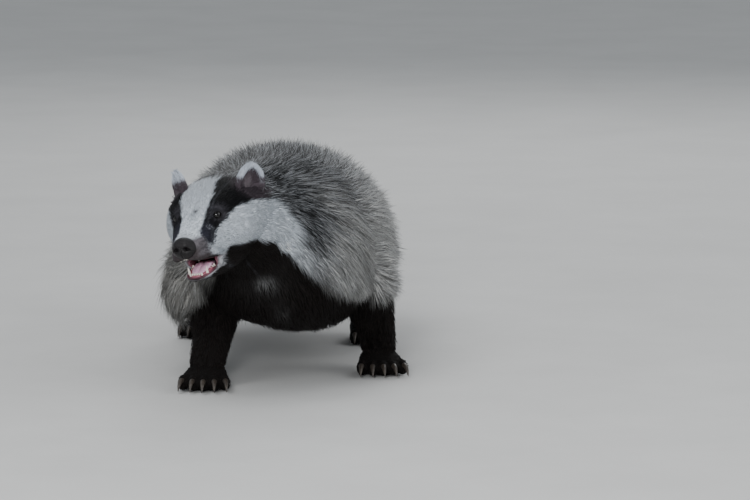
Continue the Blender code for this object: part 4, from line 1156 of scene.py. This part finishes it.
def leg_colours(points, normals, steps):
    colour, grizzle = markings(points)
    base = colour * RNG.normal(1.0, 0.16, (len(points), 1))
    # Painted shade: each ring is painted darker towards the root and lighter towards the tip.
    return [np.clip(base * (0.7 + 0.6 * s), 0.002, 0.9) for s in steps]


def noise(nodes, links, scale, detail=6.0, roughness=0.6):
    texture = nodes.new("ShaderNodeTexNoise")
    texture.inputs["Scale"].default_value = scale
    texture.inputs["Detail"].default_value = detail
    texture.inputs["Roughness"].default_value = roughness
    place = nodes.new("ShaderNodeTexCoord")
    links.new(place.outputs["Object"], texture.inputs["Vector"])
    return texture


def material(name, colour, roughness, attribute=None, variation=0.25, scale=300.0, bump=0.0,
             bump_scale=900.0, **sockets):
    """A Principled material with noise in its colour and, where bump is given, in its surface."""
    made = bpy.data.materials.new(name)
    made.use_nodes = True
    nodes, links = made.node_tree.nodes, made.node_tree.links
    shader = nodes["Principled BSDF"]
    shader.inputs["Roughness"].default_value = roughness
    for socket, value in sockets.items():
        shader.inputs[socket.replace("_", " ")].default_value = value
    mixed = nodes.new("ShaderNodeMix")
    mixed.data_type = "RGBA"
    mixed.blend_type = "MULTIPLY"
    mixed.inputs["Factor"].default_value = 1.0
    if attribute:
        source = nodes.new("ShaderNodeAttribute")
        source.attribute_name = attribute
        links.new(source.outputs["Color"], mixed.inputs["A"])
    else:
        mixed.inputs["A"].default_value = (*colour, 1)
    ramp = nodes.new("ShaderNodeValToRGB")
    ramp.color_ramp.elements[0].position = 0.30
    ramp.color_ramp.elements[0].color = (1 - variation,) * 3 + (1,)
    ramp.color_ramp.elements[1].position = 0.70
    ramp.color_ramp.elements[1].color = (1 + variation,) * 3 + (1,)
    links.new(noise(nodes, links, scale).outputs["Fac"], ramp.inputs["Fac"])
    links.new(ramp.outputs["Color"], mixed.inputs["B"])
    links.new(mixed.outputs["Result"], shader.inputs["Base Color"])
    if bump:
        rough = nodes.new("ShaderNodeBump")
        rough.inputs["Strength"].default_value = bump
        rough.inputs["Distance"].default_value = 0.0006
        links.new(noise(nodes, links, bump_scale).outputs["Fac"], rough.inputs["Height"])
        links.new(rough.outputs["Normal"], shader.inputs["Normal"])
    return made


def painted(obj, name, colours):
    """Gives every point of a mesh its colour."""
    paint = obj.data.attributes.new(name, "FLOAT_COLOR", "POINT")
    flat = np.ones((len(obj.data.vertices), 4), np.float32)
    flat[:, :3] = colours
    paint.data.foreach_set("color", flat.ravel())


def shade_smooth(obj):
    obj.data.polygons.foreach_set("use_smooth", np.ones(len(obj.data.polygons), bool))
    obj.data.update()


def joined(name, parts, finish):
    """One piece from several objects of the scrap collection."""
    bm = bmesh.new()
    for part in parts:
        bm.from_mesh(part.data)
    for part in parts:
        bpy.data.objects.remove(part)
    obj = new_object(name, bm, MAIN)
    obj.data.materials.append(finish)
    shade_smooth(obj)
    return obj


def tube(name, path, radii, sides, collection, closed=False):
    """A round tube along a path, with the radius of each of its points."""
    bm = bmesh.new()
    count = len(path)
    rows = []
    for i, (point, radius) in enumerate(zip(path, radii)):
        before = path[(i - 1) % count] if closed or i else path[0]
        after = path[(i + 1) % count] if closed or i < count - 1 else path[-1]
        along = (after - before).normalized()
        side = along.cross(Vector((0.13, 0.21, 1))).normalized()
        up = side.cross(along)
        rows.append([bm.verts.new(point + side * radius * math.cos(a) + up * radius * math.sin(a))
                     for a in (2 * math.pi * k / sides for k in range(sides))])
    pairs = list(zip(rows, rows[1:])) + ([(rows[-1], rows[0])] if closed else [])
    for first, second in pairs:
        for k in range(sides):
            n = (k + 1) % sides
            bm.faces.new((first[k], first[n], second[n], second[k]))
    if not closed:
        bm.faces.new(rows[0])
        bm.faces.new(rows[-1])
    return new_object(name, bm, collection)


def bent(points, count):
    """More points on a smooth curve through a few."""
    return [Vector(p) for p in curve_through([tuple(p) for p in points], count)]


def add_claws(paw):
    """Long digging claws, each bent down to its tip."""
    frame = paw_frame(paw)
    claw = FORE_CLAW if paw.startswith("fore") else HIND_CLAW
    made = []
    for x, y, out in toes(paw):
        root = Vector((x, y, 0.0110)) + out * 0.003
        size = claw * random.uniform(0.92, 1.02)
        reach = (0.0, 0.42, 0.78, 1.0)
        rise = (0.0, 0.0014, -0.0022, -0.0088)
        path = bent([frame @ (root + out * size * r + Vector((0, 0, h)))
                     for r, h in zip(reach, rise)], 4)
        radii = [0.0033 * (1 - (k / (len(path) - 1)) ** 1.6) ** 0.8 for k in range(len(path) - 1)]
        made.append(horn("claw", path, radii, 12, SCRAP))
    return joined("claws_" + paw, made, HORN)


def nose_pad():
    """The nose pad, with comma-shaped nostrils and a groove between them."""
    pad = ellipsoid("nose_skin_pad", Vector(), NOSE_RADII, Matrix.Identity(4), MAIN, 128)
    p = points_of(pad.data)
    x, y, z = p.T
    front = smooth(-y, 0.0, 0.006)
    deep = np.zeros(len(p))
    for side in (-1, 1):
        dx, dz = (x - side * NOSTRIL_X) * side, z - 0.0004
        deep += 0.0050 * np.exp(-(dx / 0.0023) ** 2 - (dz / 0.0019) ** 2)
        slit = dz + 0.0004 + 0.9 * (dx - 0.0015) ** 2 / 0.006
        deep += 0.0022 * np.exp(-((dx - 0.0035) / 0.0030) ** 2 - (slit / 0.0008) ** 2)
    deep += 0.0012 * np.exp(-(x / 0.0006) ** 2) * smooth(z, 0.0035, -0.001)
    swollen = 0.0007 * np.exp(-((np.abs(x) - 0.0055) / 0.0028) ** 2 - ((z - 0.0042) / 0.0026) ** 2)
    p[:, 1] += (deep - swollen) * front
    move_points(pad.data, p)
    pad.data.transform(head_frame() @ Matrix.Translation(NOSE))
    pad.data.materials.append(NOSE_SKIN)
    shade_smooth(pad)
    return pad


def eyes():
    made = []
    for side, name in ((-1, "right"), (1, "left")):
        ball = ellipsoid("eyeball_" + name, Vector(), [EYE_RADIUS] * 3, eye_frame(side), MAIN, 48)
        ball.data.materials.append(EYE_BLACK)
        shade_smooth(ball)
        made.append(ball)
        path = []
        for k in range(40):
            a = 2 * math.pi * k / 40
            x, z = 0.0051 * math.cos(a), 0.0042 * math.sin(a) * (1 - 0.18 * math.cos(a))
            y = -math.sqrt((EYE_RADIUS + 0.0002) ** 2 - x * x - z * z)
            path.append(eye_frame(side) @ Vector((x, y, z)))
        rim = tube("rim", path, [0.00075] * 40, 10, SCRAP, closed=True)
        made.append(joined("lid_rim_" + name, [rim], LID_SKIN))
    return made


def teeth():
    """Upper and lower canines, and the incisors."""
    upper, lower = head_frame(), jaw_frame()
    made = []
    for side in (-1, 1):
        root = Vector((side * 0.0105, -0.0375, -0.0320))
        path = bent([upper @ (root + Vector((0, -0.001 * t, -0.0090 * t))) for t in (0, 0.5, 1)], 4)
        made.append(horn("canine", path, [0.0019 * (1 - (k / 8) ** 1.7) for k in range(8)], 12, SCRAP))
        root = Vector((side * 0.0100, -0.0252, -0.0430))
        path = bent([lower @ (root + Vector((side * 0.0010 * t, 0.0014 * t * t, 0.0105 * t)))
                     for t in (0, 0.5, 1)], 4)
        made.append(horn("canine", path, [0.0018 * (1 - (k / 8) ** 1.7) for k in range(8)], 12, SCRAP))
    for k in range(6):
        x = (k - 2.5) * 0.0023
        for place, root, rise in ((upper, (x, -0.0400 + 10 * x * x, -0.0340), -0.0044),
                                  (lower, (1.15 * x, -0.0322 + 14 * x * x, -0.0420), 0.0050)):
            path = [place @ (Vector(root) + Vector((0, 0, rise * t))) for t in (0, 0.5, 0.9, 1)]
            made.append(horn("incisor", path, (0.0009, 0.0011, 0.0009), 10, SCRAP))
    for side in (-1, 1):
        for k, size in enumerate((0.6, 0.7, 0.8, 0.9)):
            root = Vector((side * (0.0104 + 0.0006 * k), -0.0200 + 0.0040 * k, -0.0415))
            path = [lower @ (root + Vector((0, 0, 0.0038 * size * t))) for t in (0, 0.4, 0.8, 1)]
            made.append(horn("cheek_tooth", path, [size * w for w in (0.0014, 0.0015, 0.0009)], 10, SCRAP))
    return joined("teeth", made, IVORY)


def gums():
    """The ridges that the lower and upper teeth stand on."""
    made = []
    for place, front, z in ((jaw_frame(), -0.0335, -0.0412), (head_frame(), -0.0410, -0.0345)):
        path = [place @ Vector((0.0108 * math.sin(a), front + 0.0230 * (1 - math.cos(a)), z))
                for a in np.linspace(-1.5, 1.5, 25)]
        made.append(tube("gum", path, [0.0020] * 25, 12, SCRAP))
    return joined("gums", made, GUM_RED)


def tongue():
    body = ellipsoid("tongue_flesh", Vector(), (0.0100, 0.0235, 0.0046), Matrix.Identity(4), MAIN, 80)
    p = points_of(body.data)
    top = smooth(p[:, 2], -0.001, 0.002)
    p[:, 2] -= 0.0012 * np.exp(-(p[:, 0] / 0.0018) ** 2) * top
    p[:, 2] += 0.0014 * (p[:, 0] / 0.0100) ** 2 - 0.0045 * smooth(p[:, 1], 0.0, 0.020)
    p[:, 2] -= 0.0001 * (1 + np.sin(p[:, 1] * 3200)) * top
    move_points(body.data, p)
    body.data.transform(jaw_frame() @ Matrix.Translation((0, -0.0085, -0.0408)))
    body.data.materials.append(TONGUE_PINK)
    shade_smooth(body)
    return body


def look_at(camera, target):
    camera.rotation_euler = (Vector(target) - camera.location).to_track_quat("-Z", "Y").to_euler()


def area_light(name, place, target, size, power):
    light = bpy.data.lights.new(name, "AREA")
    light.size = size
    light.energy = power
    obj = bpy.data.objects.new(name, light)
    obj.location = place
    look_at(obj, target)
    bpy.context.scene.collection.objects.link(obj)


def studio():
    """A pale floor under soft light, and the camera that looked at the animal."""
    bm = bmesh.new()
    bmesh.ops.create_grid(bm, x_segments=1, y_segments=1, size=6.0)
    floor = new_object("floor", bm, bpy.context.scene.collection)
    floor.data.transform(Matrix.Translation((0, 0, -0.0003)))
    floor.data.materials.append(material("pale_floor", (0.60, 0.60, 0.59), 0.8, variation=0.04,
                                         scale=6.0))
    world = bpy.data.worlds.new("studio")
    world.use_nodes = True
    world.node_tree.nodes["Background"].inputs["Color"].default_value = (0.90, 0.95, 1.0, 1)
    world.node_tree.nodes["Background"].inputs["Strength"].default_value = 0.46
    bpy.context.scene.world = world
    area_light("key", (-0.9, -1.2, 2.5), (0, 0, 0.12), 1.6, 34)
    area_light("fill", (1.9, -0.9, 1.2), (0, 0, 0.12), 1.6, 16)
    area_light("rim", (0.4, 2.2, 1.6), (0, 0, 0.12), 1.4, 18)
    area_light("front", (-0.2, -2.95, 0.85), (0, -0.3, 0.2), 0.45, 38)
    camera = bpy.data.objects.new("camera", bpy.data.cameras.new("camera"))
    camera.data.lens = LENS
    camera.data.sensor_width = 36.0
    target = Vector((0.1078, 0.0, 0.1436)) + TO_ORIGIN
    camera.location = target + 6.0 * Vector((0, -math.cos(CAMERA_TILT), math.sin(CAMERA_TILT)))
    look_at(camera, target)
    camera.data.clip_end = 50.0
    bpy.context.scene.collection.objects.link(camera)
    bpy.context.scene.camera = camera


LENS = 259.2
CAMERA_TILT = math.radians(8.0)

MAIN = group("badger")
SCRAP = group("scrap")
TOOLS = group("tools")

FUR = material("banded_coat_hair", WHITE, 0.6, attribute="fur_colour_and_root_shade", variation=0.12, scale=700.0,
               Specular_IOR_Level=0.14)
SKIN = material("skin_under_fur", WHITE, 0.8, attribute="skin_colour_and_painted_shade", variation=0.25, scale=500.0,
                bump=0.8, bump_scale=1300.0, Specular_IOR_Level=0.15)
NOSE_SKIN = material("moist_nose_skin", (0.0068, 0.0054, 0.0062), 0.30, variation=0.3, scale=900.0,
                     bump=0.9, bump_scale=1500.0, Specular_IOR_Level=0.28)
EYE_BLACK = material("glossy_black_eye", (0.0015, 0.0011, 0.0010), 0.04, variation=0.3, scale=400.0,
                     Specular_IOR_Level=0.45)
LID_SKIN = material("black_lid_skin", (0.0070, 0.0060, 0.0065), 0.40, scale=1200.0, bump=0.4,
                    Specular_IOR_Level=0.2)
HORN = material("gray_brown_horn", (0.042, 0.034, 0.028), 0.42, variation=0.45, scale=260.0,
                bump=0.25, bump_scale=700.0)
IVORY = material("ivory_tooth", (0.80, 0.76, 0.68), 0.25, variation=0.15, scale=500.0, bump=0.1)
GUM_RED = material("wet_gum", (0.36, 0.110, 0.150), 0.25, scale=600.0, bump=0.3)
TONGUE_PINK = material("wet_pink_tongue", (0.97, 0.62, 0.82), 0.30, scale=700.0, bump=0.5,
                       bump_scale=1800.0, Coat_Weight=0.6, Coat_Roughness=0.12)

skin = build_skin()
SURFACE = Surface(skin.data)
skin.name = "skin"
shade_smooth(skin)
skin_tone, grizzle = markings(points_of(skin.data))
# Painted shade: the skin is painted darker than the fur's colour, at 0.45 under the body's coat and 0.85 on the
# head, as shade under the fur.
head_part = smooth(past_nape(points_of(skin.data)), 0.010, -0.010)
painted(skin, "skin_colour_and_painted_shade", skin_tone * (0.45 + 0.40 * head_part)[:, None])
skin.data.materials.clear()
skin.data.materials.append(SKIN)
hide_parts("head", "lower_jaw", "neck", "torso", "tail", "foreleg_right", "foreleg_left",
            "hindleg_right", "hindleg_left", "forepaw_right", "forepaw_left", "hindpaw_right",
            "hindpaw_left", "ear_right", "ear_left")
pieces = [skin]

M = SURFACE.middles
head_zone, leg_zone, paw_zone, tail_zone, ear_zone = zones(M)
h = in_head(M)
mouth = in_mouth(M)
bare = (mouth < 1.12) & (h[:, 1] < 0.030)
for side in (-1, 1):
    eye_at = np.array(eye_frame(side))[:3, 3]
    bare |= np.linalg.norm(M - eye_at, axis=1) < EYE_RADIUS + 0.0016
bare |= np.linalg.norm((h - np.array(NOSE)) / (0.0150, 0.0115, 0.0130), axis=1) < 1.0
under = (M[:, 2] < 0.0015)
open_skin = np.where(bare | under, 0.0, 1.0)

body_zone = open_skin * (1 - head_zone) * (1 - leg_zone)
near = nearest_spine(M)
coat_zone = smooth(M[:, 2] - coat_edge(M), -0.010, 0.004)
coat_zone = np.maximum(coat_zone, tail_zone)
along = SPINE_LENGTH[near]
COAT_BANDS = (("coat_neck", 19500), ("coat_shoulders", 19500), ("coat_back", 16000),
              ("coat_hips", 13000), ("coat_rump_tail", 12500))
edges = np.quantile(along[coat_zone * body_zone > 0.5], np.linspace(0, 1, len(COAT_BANDS) + 1))
edges[0], edges[-1] = -1, 9
for k, (name, count) in enumerate(COAT_BANDS):
    share = body_zone * coat_zone * (along >= edges[k]) * (along < edges[k + 1])
    pieces.append(tufts(name, SURFACE, share, count, body_size, coat_colours, fur=FUR))
pieces.append(tufts("fur_chest_belly", SURFACE, body_zone * (1 - coat_zone), 13000, body_size,
                    leg_colours, fur=FUR))
pieces.append(tufts("fur_legs", SURFACE, open_skin * leg_zone, 15000, leg_size, leg_colours,
                    rings=SHORT_RINGS, clump=(7, 0.4), fur=FUR))
dense = open_skin * (1 + 1.5 * smooth(h[:, 1], 0.05, -0.03))
pieces.append(tufts("fur_face", SURFACE, dense * head_zone * (1 - ear_zone) * (h[:, 1] < 0.025),
                    17000, head_size, short_colours, rings=SHORT_RINGS, clump=(8, 0.3),
                    fur=FUR))
pieces.append(tufts("fur_crown_cheeks", SURFACE, dense * head_zone * (1 - ear_zone) * (h[:, 1] >= 0.025),
                    15000, head_size, short_colours, rings=SHORT_RINGS, clump=(8, 0.35),
                    fur=FUR))
pieces.append(tufts("fur_ears", SURFACE, open_skin * ear_zone, 5000, head_size, short_colours,
                    rings=SHORT_RINGS, clump=(6, 0.3), fur=FUR))
pad = nose_pad()
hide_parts("nose_pad")
made_eyes = eyes()
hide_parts("eye_right")
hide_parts("eye_left")
made_tongue = tongue()
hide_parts("tongue")
pieces += [pad, *made_eyes, made_tongue, teeth(), gums()]
pieces += [add_claws(paw) for paw in PAWS]
for piece in pieces:
    piece.data.transform(Matrix.Translation(TO_ORIGIN))
    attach(piece, "root")
for unused in (SCRAP, TOOLS):
    bpy.data.collections.remove(unused)
studio()
